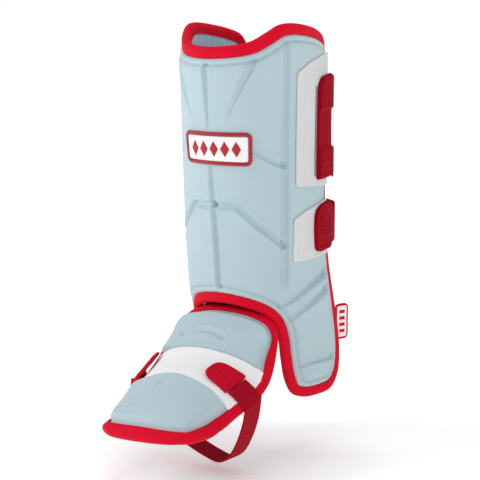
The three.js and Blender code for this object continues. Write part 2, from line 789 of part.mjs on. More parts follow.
// An elastic strap from a tab round behind the calf to the far side of the shell
function calfStrap(start, level, width, inner) {
  const near = steps(start, REAR_EDGE, ON_SHELL_STEPS)
    .map((across) => surfaceSection(shin, across, level, width / 2, inner, inner + ELASTIC_WALL));
  const farIn = CLEARANCE;
  const far = steps(-REAR_EDGE, ELASTIC_END, ON_SHELL_STEPS)
    .map((across) => surfaceSection(shin, across, level, width / 2, farIn, farIn + ELASTIC_WALL));
  const middle = (across, inside) => place(shin, across, level, inside + ELASTIC_WALL / 2);
  const from = middle(REAR_EDGE, inner);
  const to = middle(-REAR_EDGE, farIn);
  const leave = from.clone().sub(middle(REAR_EDGE - BACKSTEP, inner)).setZ(0);
  const arrive = to.clone().sub(middle(BACKSTEP - REAR_EDGE, farIn)).setZ(0);
  const handle = from.distanceTo(to) * CALF_FULLNESS;
  const curve = new THREE.CubicBezierCurve3(from, from.clone().add(leave.setLength(handle)),
    to.clone().add(arrive.setLength(handle)), to);
  const up = new THREE.Vector3(0, 0, 1);
  const behind = steps(0, 1, CALF_STEPS).slice(1, -1).map((share) => {
    const outward = curve.getTangent(share).cross(up).normalize();
    return freeSection(curve.getPoint(share), up, outward, width, ELASTIC_WALL);
  });
  return sweptBody([...near, ...behind, ...far], false);
}

// A label sewn into the rear of the +X ankle flap
function sideTag() {
  const corners = [[0, -1], [1, -1], [1, 1], [0, 1]]
    .map(([l, h]) => ({ across: l * TAG_LENGTH, along: (h * TAG_HEIGHT) / 2 }));
  const plain = { width: () => 1, length: 1 };
  const outline = roundedOutline(plain, corners, TAG_RADIUS);
  const shape = new THREE.Shape(outline.map((p) => new THREE.Vector2(p.across, p.along)));
  const geometry = new THREE.ExtrudeGeometry(shape, { depth: TAG_WALL, bevelEnabled: false });
  geometry.translate(CLEARANCE, 0, -TAG_WALL / 2);
  const along = new THREE.Vector3(Math.cos(TAG_TURN), Math.sin(TAG_TURN), 0);
  const up = new THREE.Vector3(0, 0, 1);
  const seam = place(shin, TAG_ACROSS, TAG_ALONG, (LINER_IN - BINDING_SINK) / 2);
  const turn = new THREE.Matrix4().makeBasis(along, up, along.clone().cross(up)).setPosition(seam);
  return geometry.applyMatrix4(turn);
}

// Foot part

const footOutline = smoothOutline(foot, FOOT_OUTLINE);
const footShellOutline = inset(foot, footOutline, BINDING_WIDTH + SEAM_GAP);
const BAND_OVERREACH = 1.05;    // the recess under the band runs out past the shell's edge
const BAND_REACH = 0.99;        // the band itself stops just short of that edge

// The outline of a band across the foot, out to a share of the shell's own width
function bandOutline(from, to, reach) {
  const rightEdge = (along) => Math.max(...footShellOutline.flatMap((p, i) => {
    const q = footShellOutline[(i + 1) % footShellOutline.length];
    const share = (along - p.along) / (q.along - p.along);
    return share >= 0 && share <= 1 ? [p.across + share * (q.across - p.across)] : [];
  }));
  const right = steps(from, to, 3).map((along) => ({ across: reach * rightEdge(along), along }));
  return [...right, ...right.map((p) => ({ across: -p.across, along: p.along })).reverse()];
}

function footShell() {
  const plain = sheet(foot, footShellOutline, 0, -FOOT_WALL,
    { bevelWidth: EDGE_BEVEL, bevelDepth: EDGE_BEVEL / 2 });
  const recess = bandOutline(BAND_FROM, BAND_TO, BAND_OVERREACH);
  return cutBy(plain, [sheet(foot, recess, OVERCUT, -BAND_RECESS)]);
}

const BAND_IN = CLEARANCE - BAND_RECESS;
const BAND_OUT = BAND_IN + BAND_WALL;
const FOOT_TAB_IN = Math.max(BAND_OUT, -FOOT_BINDING_SINK) + CLEARANCE;

function footBand() {
  const gap = CLEARANCE / foot.length;
  return sheet(foot, bandOutline(BAND_FROM + gap, BAND_TO - gap, BAND_REACH), BAND_OUT, BAND_IN);
}

function footBinding() {
  return binding(foot, footOutline, FOOT_BINDING_SINK, FOOT_BINDING_DEPTH);
}

// A tab with a rounded end toward the middle of the foot, which stands off the band
function footTab(tab) {
  const free = tab.width / 2 / foot.length;
  const sewn = NEAR_TAB_WIDTH / 2 / foot.length;
  const round = { across: tab.side * tab.from, radius: FOOT_TAB_RADIUS };
  const square = { across: tab.side * tab.to, radius: 1 };
  const corners = [
    { ...square, along: tab.along - sewn },
    { ...square, along: tab.along + sewn },
    { ...round, along: tab.along + free },
    { ...round, along: tab.along - free },
  ];
  const lift = ({ across }) => {
    const share = (tab.to - Math.abs(across)) / (tab.to - tab.from);
    return tab.stay + tab.lift * share ** 2 + tab.bow * (2 * share - 1) ** 2;
  };
  return sheet(foot, roundedOutline(foot, corners), FOOT_TAB_IN + FOOT_TAB_WALL, FOOT_TAB_IN, { lift });
}

// The webbing that runs from tab to tab under the arch of the foot
function stirrupStrap() {
  const onFoot = (tab) => {
    const gap = (2 * SEAM_GAP) / foot.width(tab.along);
    const inner = FOOT_TAB_IN + tab.stay + tab.bow;
    return steps(tab.to + gap, STIRRUP_LEAVES, 2 * ON_SHELL_STEPS).map((across) => surfaceSection(
      foot, tab.side * across, tab.along, WEBBING_WIDTH / 2, inner, inner + WEBBING_WALL));
  };
  const near = onFoot(FOOT_TABS.near);
  const far = onFoot(FOOT_TABS.far).reverse();
  const middle = (section) => section.reduce((sum, p) => sum.add(p), new THREE.Vector3()).divideScalar(4);
  const start = middle(near.at(-1));
  const end = middle(far[0]);
  const drop = start.z - WEBBING_WALL / 2;
  const loop = STIRRUP_LOOP.map((p) => new THREE.Vector3(p.sideways * FOOT_HALF_WIDTH,
    start.y - p.ahead * FOOT_LENGTH, start.z - p.drop * drop));
  const curve = new THREE.CatmullRomCurve3([start, ...loop, end], false, 'centripetal');
  const ahead = new THREE.Vector3(0, 1, 0);
  const free = steps(0, 1, STIRRUP_STEPS).slice(1, -1).map((share) => {
    const outward = ahead.clone().cross(curve.getTangentAt(share)).normalize();
    const widthwise = curve.getTangentAt(share).cross(outward).normalize();
    return freeSection(curve.getPointAt(share), widthwise, outward, WEBBING_WIDTH, WEBBING_WALL);
  });
  return sweptBody([...near, ...free, ...far], false);
}

// The fabric that joins the foot part to the shin part inside the front of the ankle
function ankleHinge() {
  const onShell = LINER_IN - CLEARANCE;
  const onFoot = -FOOT_BINDING_SINK - FOOT_BINDING_DEPTH - CLEARANCE;
  const face = (share, sunk, fold) => {
    const a = share * HINGE_REACH;
    const b = share * HINGE_FOOT_REACH;
    return [
      place(shin, a, HINGE_TOP, onShell - sunk),
      place(shin, a, HINGE_FOLD.start, onShell - sunk),
      place(shin, a, fold, onShell - sunk - HINGE_STANDOFF),
      place(foot, b, 0, onFoot - sunk),
      place(foot, b, HINGE_FOOT_DEPTH, onFoot - sunk),
    ];
  };
  return sweptBody(steps(-1, 1, HINGE_STEPS).map((share) => [
    ...face(share, 0, HINGE_FOLD.outer),
    ...face(share, HINGE_WALL, HINGE_FOLD.inner).reverse(),
  ]), false);
}

// The model

function look(colour, roughness) {
  return new THREE.MeshStandardMaterial({ color: colour, roughness, metalness: 0 });
}

const padding = look(COLOURS.padding, 0.7);
const mesh = look(COLOURS.mesh, 0.85);
const bindingCloth = look(COLOURS.binding, 0.75);
const strapCloth = look(COLOURS.strap, 0.8);
const loopCloth = look(COLOURS.loop, 0.9);

const lowerTabEnd = Math.max(...LOWER_TAB.map((corner) => corner.across));
const lowerElasticStart = lowerTabEnd + CLEARANCE / shin.width(LOWER_ELASTIC_LEVEL);

const PIECES = [
  { name: 'shin_shell', geometry: shinShell(), material: padding },
  { name: 'shin_liner', geometry: shinLiner(), material: mesh },
  { name: 'shin_binding', geometry: shinBinding(), material: bindingCloth },
  { name: 'foot_shell', geometry: footShell(), material: padding },
  { name: 'foot_binding', geometry: footBinding(), material: bindingCloth },
  { name: 'foot_band', geometry: footBand(), material: loopCloth },
  { name: 'ankle_hinge', geometry: ankleHinge(), material: bindingCloth },
  { name: 'badge_border', geometry: badgeBorder(), material: bindingCloth },
  { name: 'badge_field', geometry: badgeField(), material: loopCloth },
  { name: 'loop_patch_upper', geometry: patch(UPPER_PATCH), material: loopCloth },
  { name: 'loop_patch_lower', geometry: patch(LOWER_PATCH), material: loopCloth },
  { name: 'hook_tab_upper', geometry: hookTab(UPPER_TAB), material: strapCloth },
  { name: 'hook_tab_lower', geometry: hookTab(LOWER_TAB), material: strapCloth },
  ...UPPER_ELASTICS.map(({ name, level }) => ({
    name,
    geometry: calfStrap(UPPER_ELASTIC_START, level, UPPER_ELASTIC_WIDTH, TAB_OUT + CLEARANCE),
    material: strapCloth,
  })),
  {
    name: 'calf_strap_lower',
    geometry: calfStrap(lowerElasticStart, LOWER_ELASTIC_LEVEL, LOWER_ELASTIC_WIDTH, TAB_IN),
    material: strapCloth,
  },
  { name: 'stirrup_strap', geometry: stirrupStrap(), material: strapCloth },
  { name: 'stirrup_tab_near', geometry: footTab(FOOT_TABS.near), material: strapCloth },
  { name: 'stirrup_tab_far', geometry: footTab(FOOT_TABS.far), material: strapCloth },
  { name: 'side_tag', geometry: sideTag(), material: bindingCloth },
];

const guard = new THREE.Group();
guard.position.copy(ORIGIN).negate();
PIECES.forEach(({ name, geometry, material }) => {
  const piece = new THREE.Mesh(geometry, material);
  piece.name = name;
  guard.add(piece);
});

export default guard;
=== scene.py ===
# %% [markdown]
# # A batter's shin guard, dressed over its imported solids
#
# The guard is soft from end to end: foam panels under a smooth laminated cloth, red
# tape folded round their edges, hook and loop tabs, elastic behind the calf and a strap
# under the foot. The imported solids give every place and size. This lesson builds each
# piece again with the relief, the rolled edges and the cloth that the solids leave out.

import math

import bpy
import numpy as np
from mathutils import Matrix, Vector
from mathutils.geometry import delaunay_2d_cdt
from mathutils.kdtree import KDTree


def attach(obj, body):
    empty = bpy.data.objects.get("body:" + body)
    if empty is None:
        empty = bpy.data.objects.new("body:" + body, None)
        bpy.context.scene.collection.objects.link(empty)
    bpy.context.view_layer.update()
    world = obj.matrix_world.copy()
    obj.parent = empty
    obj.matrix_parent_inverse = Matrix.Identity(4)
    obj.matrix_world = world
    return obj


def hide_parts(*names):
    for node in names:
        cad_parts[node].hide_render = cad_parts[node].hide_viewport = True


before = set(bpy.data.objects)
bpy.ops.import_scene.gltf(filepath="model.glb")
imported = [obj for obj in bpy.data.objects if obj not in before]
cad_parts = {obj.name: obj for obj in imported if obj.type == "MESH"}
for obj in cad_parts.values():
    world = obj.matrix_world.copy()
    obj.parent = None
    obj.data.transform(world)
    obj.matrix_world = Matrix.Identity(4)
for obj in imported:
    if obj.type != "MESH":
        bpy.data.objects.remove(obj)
bpy.ops.object.select_all(action="DESELECT")
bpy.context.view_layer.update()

# %% [markdown]
# ## Camera
#
# The picture was taken from the wearer's front left, a little above the ankle. The
# camera comes first, so that every later step can be looked at from the same place.
# Lengths are worked out in millimetres and turned to metres when a mesh is made.

# %% Camera at the photograph's angle
MM = 0.001
AZIMUTH, ELEVATION = math.radians(35.4), math.radians(9.03)
DISTANCE = 1500.0
RIGHT = Vector((math.cos(AZIMUTH), math.sin(AZIMUTH), 0))
BACK = Vector(
    (
        math.sin(AZIMUTH) * math.cos(ELEVATION),
        -math.cos(AZIMUTH) * math.cos(ELEVATION),
        math.sin(ELEVATION),
    )
)
target = RIGHT * -13.11 + Vector((0, -5, -50.51))

bpy.ops.object.camera_add(location=(target + BACK * DISTANCE) * MM)
camera = bpy.context.object
camera.name = "camera"
camera.rotation_mode = "QUATERNION"
camera.rotation_quaternion = (-BACK).to_track_quat("-Z", "Y")
camera.data.sensor_width = 36
camera.data.lens = 112.5
camera.data.clip_start, camera.data.clip_end = 0.05, 100
bpy.context.scene.camera = camera
print("camera", [round(x, 3) for x in camera.location])

# %% [markdown]
# ## Shader helpers
#
# Every finish is made of nodes. One helper makes a node with its settings and feeds its
# inputs, each from a number or from another node's output. A second one is for sums.


# %% Helpers for nodes
def node(tree, kind, inputs=None, **settings):
    """A shader node with its settings, and its inputs fed by sockets or plain values."""
    made = tree.nodes.new(kind)
    for key, value in settings.items():
        setattr(made, key, value)
    fill(tree, made, inputs or {})
    return made


def fill(tree, made, inputs):
    """Feed a node's inputs by sockets or plain values."""
    for socket, value in inputs.items():
        if isinstance(value, bpy.types.NodeSocket):
            tree.links.new(value, made.inputs[socket])
        else:
            made.inputs[socket].default_value = value


def maths(tree, operation, first, second=0.5):
    """The result of a sum on sockets or numbers."""
    return node(tree, "ShaderNodeMath", {0: first, 1: second}, operation=operation).outputs[0]


WHITE = (1, 1, 1, 1)
print("node helpers ready")

# %% [markdown]
# ## Floor and light
#
# A catalogue picture has a white ground and big soft lamps. The floor lies just under
# the lowest strap. It glows more with distance, so that it stays white far off, and less
# right under the guard, where a soft round shadow is painted on it by lowering its glow.
# The main lamp stands at the left of the picture, which lets every pressed line show one
# bright wall and one dark wall. Two weaker lamps fill the right and the top.

# %% Floor
FLOOR_LEVEL, FLOOR_RADIUS = -0.262, 60
GLOW_NEAR, GLOW_FAR, GLOW_FROM, GLOW_WHOLE = 0.36, 0.62, 0.3, 1.2
# Painted shadow: where its soft round spot lies on the floor, how much glow it takes off, and where it fades
SHADE_PLACE, SHADE_DEPTH, SHADE_FROM, SHADE_END = (0.008, 0.037, 0), 0.2, 0.02, 0.19
bpy.ops.mesh.primitive_circle_add(
    vertices=96, radius=FLOOR_RADIUS, fill_type="NGON", location=(0, 0, FLOOR_LEVEL)
)
floor = bpy.context.object
floor.name = "floor"
floor_look = bpy.data.materials.new("floor_paper")
floor_look.use_nodes = True
tree = floor_look.node_tree
spot = node(tree, "ShaderNodeTexCoord").outputs["Object"]
reach = node(tree, "ShaderNodeVectorMath", {0: spot}, operation="LENGTH").outputs["Value"]
glow = node(
    tree,
    "ShaderNodeMapRange",
    {"Value": reach, "From Min": GLOW_FROM, "From Max": GLOW_WHOLE, "To Min": GLOW_NEAR, "To Max": GLOW_FAR},
).outputs["Result"]
# The painted shadow: the floor's glow is lowered in a soft spot under the foot
under = node(tree, "ShaderNodeMapping", {"Vector": spot, "Location": SHADE_PLACE}).outputs["Vector"]
under_reach = node(tree, "ShaderNodeVectorMath", {0: under}, operation="LENGTH").outputs["Value"]
shade = node(
    tree,
    "ShaderNodeMapRange",
    {"Value": under_reach, "From Min": SHADE_FROM, "From Max": SHADE_END, "To Min": SHADE_DEPTH, "To Max": 0},
    interpolation_type="SMOOTHSTEP",
).outputs["Result"]
floor_finish = {
    "Base Color": (0.9, 0.9, 0.9, 1), "Roughness": 0.95, "Specular IOR Level": 0.0,
    "Emission Color": WHITE, "Emission Strength": maths(tree, "SUBTRACT", glow, shade),
}
fill(tree, tree.nodes["Principled BSDF"], floor_finish)
floor.data.materials.append(floor_look)
print("floor at", floor.location.z)


# %% Lamps and sky
LAMP_AIM = Vector((0, 0, -0.05))


def lamp(name, place, size, power):
    """A square soft lamp that faces the middle of the guard."""
    bpy.ops.object.light_add(type="AREA", location=place)
    made = bpy.context.object
    made.name = name
    made.data.size = size
    made.data.energy = power
    made.rotation_mode = "QUATERNION"
    made.rotation_quaternion = (LAMP_AIM - Vector(place)).to_track_quat("-Z", "Y")
    return made


lamps = [
    lamp("lamp_left", (-1.9, -1.7, 1.3), 1.1, 30),
    lamp("lamp_right", (2.3, -0.9, 0.9), 1.6, 9),
    lamp("lamp_top", (0.2, 0.3, 2.6), 1.6, 15),
]
sky = bpy.data.worlds.new("studio")
bpy.context.scene.world = sky
sky.use_nodes = True
tree = sky.node_tree
paper = tree.nodes["Background"]
fill(tree, paper, {"Color": WHITE, "Strength": 0.5})
backdrop = node(tree, "ShaderNodeBackground", {"Color": WHITE, "Strength": 1.0})
seen = node(tree, "ShaderNodeLightPath").outputs["Is Camera Ray"]
choice = node(tree, "ShaderNodeMixShader", {0: seen, 1: paper.outputs[0], 2: backdrop.outputs[0]})
fill(tree, tree.nodes["World Output"], {"Surface": choice.outputs[0]})
bpy.context.scene.view_settings.view_transform = "Standard"
print("lamps", [made.name for made in lamps])

# %% [markdown]
# ## The two bent surfaces
#
# Foam panels are cut flat and then bent. So are these: every piece is drawn on a flat
# pattern and then carried onto one of two surfaces. `across` is a share of the half
# width from the front centre line and `along` a share of the height or length. The
# shin part's level sections are walks along arcs, and the foot part is a rounded arch.

# %% Sizes of the two parts, in millimetres
ORIGIN = np.array([0.0, 5.0, 250.0])
SHIN_HEIGHT, FLAP_CLEARANCE = 368.5, 46.0
HALF_GIRTH, FRONT_REACH = 180.0, 85.0
ARCH_ALONG, THROAT_GAP = 0.265, 2.5
FOOT_HALF_WIDTH, FOOT_LENGTH, FOOT_RISE = 66.0, 153.0, 101.0
TOE_CLEARANCE = FLAP_CLEARANCE + ARCH_ALONG * SHIN_HEIGHT - THROAT_GAP - FOOT_RISE
THROAT_REACH, FOOT_ROUNDNESS, BRIM_FROM = 40.0, 1.09, 0.6
STEP = 0.001

ARC_SHARES = (0.30, 0.22, 0.24, 0.24, 0.20)
# Columns: along, girth, reach, then the angle that each arc turns through
SHIN_SECTIONS = np.array(
    [
        (0, 0.68, 0.592, 34, 21, 18, 10, 4),
        (0.39, 0.772, 0.714, 29, 35, 29, 8, 6),
        (0.69, 0.867, 0.865, 41, 33, 23, 11, 26),
        (1, 0.992, 0.995, 54, 30, 16, 11, 24),
    ]
)
# Columns: along, width, crown, edge, ahead, sweep, then the brim's flare and droop, and roll
FOOT_SECTIONS = np.array(
    [
        (0, 0.817, 0.998, 0.84, 0, 0.039, 0.09, -0.06, 0),
        (0.25, 0.995, 0.612, 0.335, 0.325, 0.119, 0.076, -0.03, 0),
        (0.5, 0.911, 0.48, 0.103, 0.553, 0.015, 0.076, 0.023, 0.008),
        (0.75, 0.839, 0.302, 0.02, 0.781, 0.103, 0.084, 0.076, 0.036),
        (1, 0.838, 0.02, 0.017, 0.998, 0.129, 0.131, 0.054, 0.067),
    ]
)
print("toe edge", TOE_CLEARANCE, "mm above the lowest strap")


# %% Smooth reading of a table of sections
def between_sections(table, along):
    """Cubic curves through the rows of a table, straight at both ends."""
    levels, rows = table[:, 0], table[:, 1:]
    last = len(levels) - 2
    t = np.clip(along, levels[0], levels[-1])
    i = np.clip(np.searchsorted(levels, t, side="right") - 1, 0, last)
    t0, t1 = levels[i], levels[i + 1]
    half = (t1 - t0) / 2
    before = np.where(i == 0, i + 1, i - 1)
    after = np.where(i == last, i, np.minimum(i + 2, last + 1))
    wb = half / (t0 - levels[before])
    wa = half / (levels[after] - t1)
    p = (t - t0) / (t1 - t0)
    weights = (
        -wb * p**3 + 2 * wb * p**2 - wb * p,
        (1 + wb) * p**3 + (-1.5 - 2 * wb) * p**2 + (-0.5 + wb) * p + 1,
        (-1 - wa) * p**3 + (1.5 + wa) * p**2 + 0.5 * p,
        wa * p**3 - wa * p**2,
    )
    return sum(w[..., None] * rows[k] for w, k in zip(weights, (before, i, i + 1, after)))


print("reach at mid height", between_sections(SHIN_SECTIONS, np.array([0.5]))[0, 1])


# %% The shin part's outer face
def shin_face(across, along):
    """Points of the outer face, found by walking along each level section's arcs."""
    section = between_sections(SHIN_SECTIONS, along)
    left = np.abs(across)
    heading = np.zeros_like(left)
    x = np.zeros_like(left)
    y = -FRONT_REACH * section[..., 1]
    for number, share in enumerate(ARC_SHARES):
        final = number == len(ARC_SHARES) - 1
        walked = np.maximum(left, 0) if final else np.clip(left, 0, share)
        turn = np.radians(section[..., 2 + number])
        radius = share * HALF_GIRTH * section[..., 0] / turn
        onward = heading + turn * walked / share
        x = x + radius * (np.sin(onward) - np.sin(heading))
        y = y + radius * (np.cos(heading) - np.cos(onward))
        heading = onward
        left = left - share
    z = FLAP_CLEARANCE + along * SHIN_HEIGHT
    return np.stack([np.sign(across) * x, y, z], -1) - ORIGIN


def foot_face(across, along):
    """Points of the foot part's outer face: a rounded arch that ends in a brim at each side."""
    section = np.moveaxis(between_sections(FOOT_SECTIONS, along), -1, 0)
    width, crown, edge, ahead, sweep, flare, droop, roll = section
    angle = across * np.pi / 2
    sideways = np.sign(angle) * np.abs(np.sin(angle)) ** FOOT_ROUNDNESS
    height = np.abs(np.cos(angle)) ** FOOT_ROUNDNESS
    brim = (np.maximum(np.abs(across) - BRIM_FROM, 0) / (1 - BRIM_FROM)) ** 2
    x = FOOT_HALF_WIDTH * (width * sideways + np.sign(across) * flare * brim)
    y = -THROAT_REACH - FOOT_LENGTH * (ahead - sweep * (1 - height))
    z = TOE_CLEARANCE + FOOT_RISE * (edge + (crown - edge) * height)
    return np.stack([x, y, z - FOOT_HALF_WIDTH * (droop * brim - roll * across)], -1) - ORIGIN


print("crown of the shin", shin_face(np.array([0.0]), np.array([1.0]))[0])


# %% Chains of points
def chain_run(points):
    """Distance travelled to each point of a chain."""
    return np.concatenate([[0], np.cumsum(np.linalg.norm(np.diff(points, axis=0), axis=1))])


def read_off(values, run, at):
    """Values that belong to the points of a chain, read at other distances along it."""
    return np.stack([np.interp(at, run, column) for column in values.T], 1)


def spaced(chain, pitch):
    """A chain read off again at even distances of about `pitch`."""
    run = chain_run(chain)
    return read_off(chain, run, np.linspace(0, run[-1], max(2, round(run[-1] / pitch)) + 1))


def looped(line):
    """A closed line with its first point again at the end."""
    return np.concatenate([line, line[:1]])


print("a square is", chain_run(looped(np.array([(0, 0), (1, 0), (1, 1), (0, 1)])))[-1], "sides round")


# %% A surface with its flat pattern in true millimetres
class Surface:
    """A bent face, the half width and length of its pattern, and places on it."""

    def __init__(self, face, half_width, length, facing, reach):
        self.face, self.half_width, self.length = face, half_width, length
        self.facing, self.reach = facing, reach

    def place(self, across, along, out):
        """Points straight out of the face by `out` millimetres."""
        across, along = np.broadcast_arrays(np.asarray(across, float), np.asarray(along, float))
        a = np.clip(across, -self.reach, self.reach)
        b = np.clip(along, STEP, 1 - STEP)
        sideways = self.face(a + STEP, b) - self.face(a - STEP, b)
        onward = self.face(a, b + STEP) - self.face(a, b - STEP)
        normal = self.facing * np.cross(sideways, onward)
        normal /= np.linalg.norm(normal, axis=-1, keepdims=True)
        return self.face(across, along) + normal * np.asarray(out)[..., None]

    def flat(self, shares):
        """Shares to millimetres of the flat pattern."""
        shares = np.asarray(shares, float)
        return np.stack(
            [shares[:, 0] * self.half_width(shares[:, 1]), shares[:, 1] * self.length], 1
        )

    def shares(self, flat):
        """Millimetres of the flat pattern to shares."""
        along = flat[:, 1] / self.length
        return np.stack([flat[:, 0] / self.half_width(along), along], 1)

    def lift(self, flat, out):
        """Millimetres of the flat pattern carried onto the bent face and out of it."""
        shares = self.shares(flat)
        return self.place(shares[:, 0], shares[:, 1], out)


def foot_half_width(along):
    """Half of a foot section's length, read from a fine table of measured ones."""
    return np.interp(along, FOOT_LEVELS, FOOT_HALVES)


FOOT_LEVELS = np.linspace(0, 1, 81)
FOOT_HALVES = np.array(
    [chain_run(foot_face(np.linspace(0, 1, 25), np.full(25, b)))[-1] for b in FOOT_LEVELS]
)
foot_length = chain_run(foot_face(np.full(25, 0.5), np.linspace(0, 1, 25)))[-1]
shin = Surface(
    shin_face,
    lambda along: HALF_GIRTH * between_sections(SHIN_SECTIONS, np.asarray(along, float))[..., 0],
    SHIN_HEIGHT,
    1,
    9.0,
)
foot = Surface(foot_face, foot_half_width, foot_length, -1, 1 - 2 * STEP)
print("foot pattern", round(foot_length, 1), "mm long,", FOOT_HALVES.round(1)[::20])

# %% [markdown]
# ## Outlines on the pattern
#
# A pattern cutter draws a smooth line through a few marks. The marks are the driving
# table, and a centripetal spline through them is read off every millimetre or two.

# %% The marks of the two outlines
SHIN_MARKS = [
    (0, 0.939), (0.138, 0.942), (0.276, 0.953), (0.381, 0.976), (0.47, 0.995), (0.57, 1),
    (0.76, 0.993), (0.9, 0.982), (1, 0.967), (1.06, 0.937), (1.078, 0.885), (1.085, 0.6),
    (1.11, 0.38), (1.155, 0.28), (1.188, 0.19), (1.195, 0.12), (1.15, 0.05), (1.05, 0.012),
    (0.88, 0.002), (0.70, 0.004), (0.60, 0.018), (0.538, 0.057), (0.502, 0.115), (0.473, 0.177),
    (0.43, 0.214), (0.348, 0.239), (0.2, 0.257), (0, ARCH_ALONG),
]
FOOT_MARKS = [
    (0, 0), (0.45, 0), (0.73, 0.012), (0.895, 0.055), (0.95, 0.15), (0.955, 0.49),
    (0.944, 0.655), (0.94, 0.785), (0.874, 0.9), (0.77, 0.96), (0.563, 0.99), (0.3, 1), (0, 1),
]
print(len(SHIN_MARKS), "marks on the shin,", len(FOOT_MARKS), "on the foot")


# %% Smooth closed lines, even spacing and insets
def spline(points, closed, fine=24):
    """A centripetal curve through points, as a dense chain."""
    points = np.asarray(points, float)
    if closed:
        chain = np.concatenate([points[-1:], points, points[:2]])
    else:
        first, last = 2 * points[0] - points[1], 2 * points[-1] - points[-2]
        chain = np.concatenate([first[None], points, last[None]])
    t = np.linspace(0, 1, fine, endpoint=False)[:, None]
    made = []
    for p0, p1, p2, p3 in zip(chain, chain[1:], chain[2:], chain[3:]):
        d0, d1, d2 = (np.sqrt(np.linalg.norm(b - a)) for a, b in ((p0, p1), (p1, p2), (p2, p3)))
        m1 = d1 * ((p1 - p0) / d0 - (p2 - p0) / (d0 + d1) + (p2 - p1) / d1)
        m2 = d1 * ((p2 - p1) / d1 - (p3 - p1) / (d1 + d2) + (p3 - p2) / d2)
        made.append(
            p1 + m1 * t + (3 * (p2 - p1) - 2 * m1 - m2) * t**2 + (2 * (p1 - p2) + m1 + m2) * t**3
        )
    made.append(points[:1] if closed else points[-1:])
    return np.concatenate(made)


def cut_line(surface, marks, pitch):
    """The closed outline through one half's marks and their mirror, in flat millimetres."""
    marks = np.array(marks, float)
    scale = np.array([surface.half_width(np.array(0.5)), surface.length])
    there = marks * scale
    back = there[1:-1][::-1] * (-1, 1)
    curve = spline(np.concatenate([there, back]), closed=True)
    return spaced(surface.flat(curve / scale), pitch)[:-1]


def signed_area(line):
    x, y = line.T
    return (x * np.roll(y, -1) - y * np.roll(x, -1)).sum() / 2


def inset(line, distance, smooth=3):
    """A closed line moved inward, its directions evened out where it turns sharply."""
    run = np.roll(line, -1, 0) - np.roll(line, 1, 0)
    for _ in range(smooth):
        run = (np.roll(run, 1, 0) + 2 * run + np.roll(run, -1, 0)) / 4
    run /= np.linalg.norm(run, axis=1, keepdims=True)
    inward = np.stack([-run[:, 1], run[:, 0]], 1) * np.sign(signed_area(line))
    return line + inward * distance


# The far wing is narrower than the near one: its share of the width, and between which levels
FAR_WING, FAR_WING_FROM, FAR_WING_WHOLE = 0.915, 0.35, 0.75


def on_far_wing(line):
    """The shin outline with its far wing drawn in."""
    shares = shin.shares(line)
    t = np.clip((shares[:, 1] - FAR_WING_FROM) / (FAR_WING_WHOLE - FAR_WING_FROM), 0, 1)
    factor = 1 - (1 - FAR_WING) * t * t * (3 - 2 * t)
    shares[:, 0] *= np.where(shares[:, 0] < 0, factor, 1)
    return spaced(shin.flat(looped(shares)), 1.6)[:-1]


shin_line = on_far_wing(cut_line(shin, SHIN_MARKS, 1.6))
foot_line = cut_line(foot, FOOT_MARKS, 1.4)
print("outlines", len(shin_line), len(foot_line), "points")


# %% How deep inside an outline a point lies
def depth_inside(line, points):
    """Distance from each point to a closed line, below zero outside it."""
    dense = spaced(looped(line), 0.25)
    tree = KDTree(len(dense))
    for i, (x, y) in enumerate(dense):
        tree.insert((x, y, 0), i)
    tree.balance()
    away = np.array([tree.find((x, y, 0))[2] for x, y in points])
    inside = np.zeros(len(points), bool)
    a, b = line, np.roll(line, -1, 0)
    for (ax, ay), (bx, by) in zip(a, b):
        if ay != by:
            crossed = (ay > points[:, 1]) != (by > points[:, 1])
            inside ^= crossed & (points[:, 0] < ax + (bx - ax) * (points[:, 1] - ay) / (by - ay))
    return np.where(inside, away, -away)


print("centre of the shin lies", depth_inside(shin_line, np.array([[0.0, 200.0]]))[0].round(1), "mm in")


# %% [markdown]
# ## From pattern to padded piece
#
# A grid primitive has a square outline, and the edges of these panels are curves, so a
# panel starts as a constrained triangulation: the outline's own points, a few rows just
# inside it for the rolled edge, and an even field of points. Both faces are then lifted
# onto the bent surface, which is what the heated mould does to the foam. The outer face
# follows a relief function, and the flat pattern is kept as the UV map for the cloth.

# %% Meshes from arrays
def mesh_piece(name, points, faces, uv, look):
    """A piece in the row frame with its pattern as a UV map, in centimetres."""
    mesh = bpy.data.meshes.new(name)
    mesh.from_pydata((np.asarray(points) * MM).tolist(), [], [list(map(int, f)) for f in faces])
    mesh.validate()
    layer = mesh.uv_layers.new(name="pattern")
    loops = np.zeros(len(mesh.loops), int)
    mesh.loops.foreach_get("vertex_index", loops)
    layer.data.foreach_set("uv", (np.asarray(uv)[loops] / 10).astype(np.float32).ravel())
    piece = bpy.data.objects.new(name, mesh)
    bpy.context.scene.collection.objects.link(piece)
    mesh.materials.append(look)
    bpy.ops.object.select_all(action="DESELECT")
    piece.select_set(True)
    bpy.context.view_layer.objects.active = piece
    bpy.ops.object.mode_set(mode="EDIT")
    bpy.ops.mesh.select_all(action="SELECT")
    bpy.ops.mesh.normals_make_consistent(inside=False)
    bpy.ops.object.mode_set(mode="OBJECT")
    bpy.ops.object.shade_smooth_by_angle(angle=math.radians(50))
    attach(piece, "root")
    return piece


def stand_for(piece, *nodes):
    """The piece is shown in place of these solids."""
    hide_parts(*nodes)
    triangles = sum(len(p.vertices) - 2 for p in piece.data.polygons)
    print(piece.name, "stands for", ", ".join(nodes), "with", triangles, "triangles")
    return piece


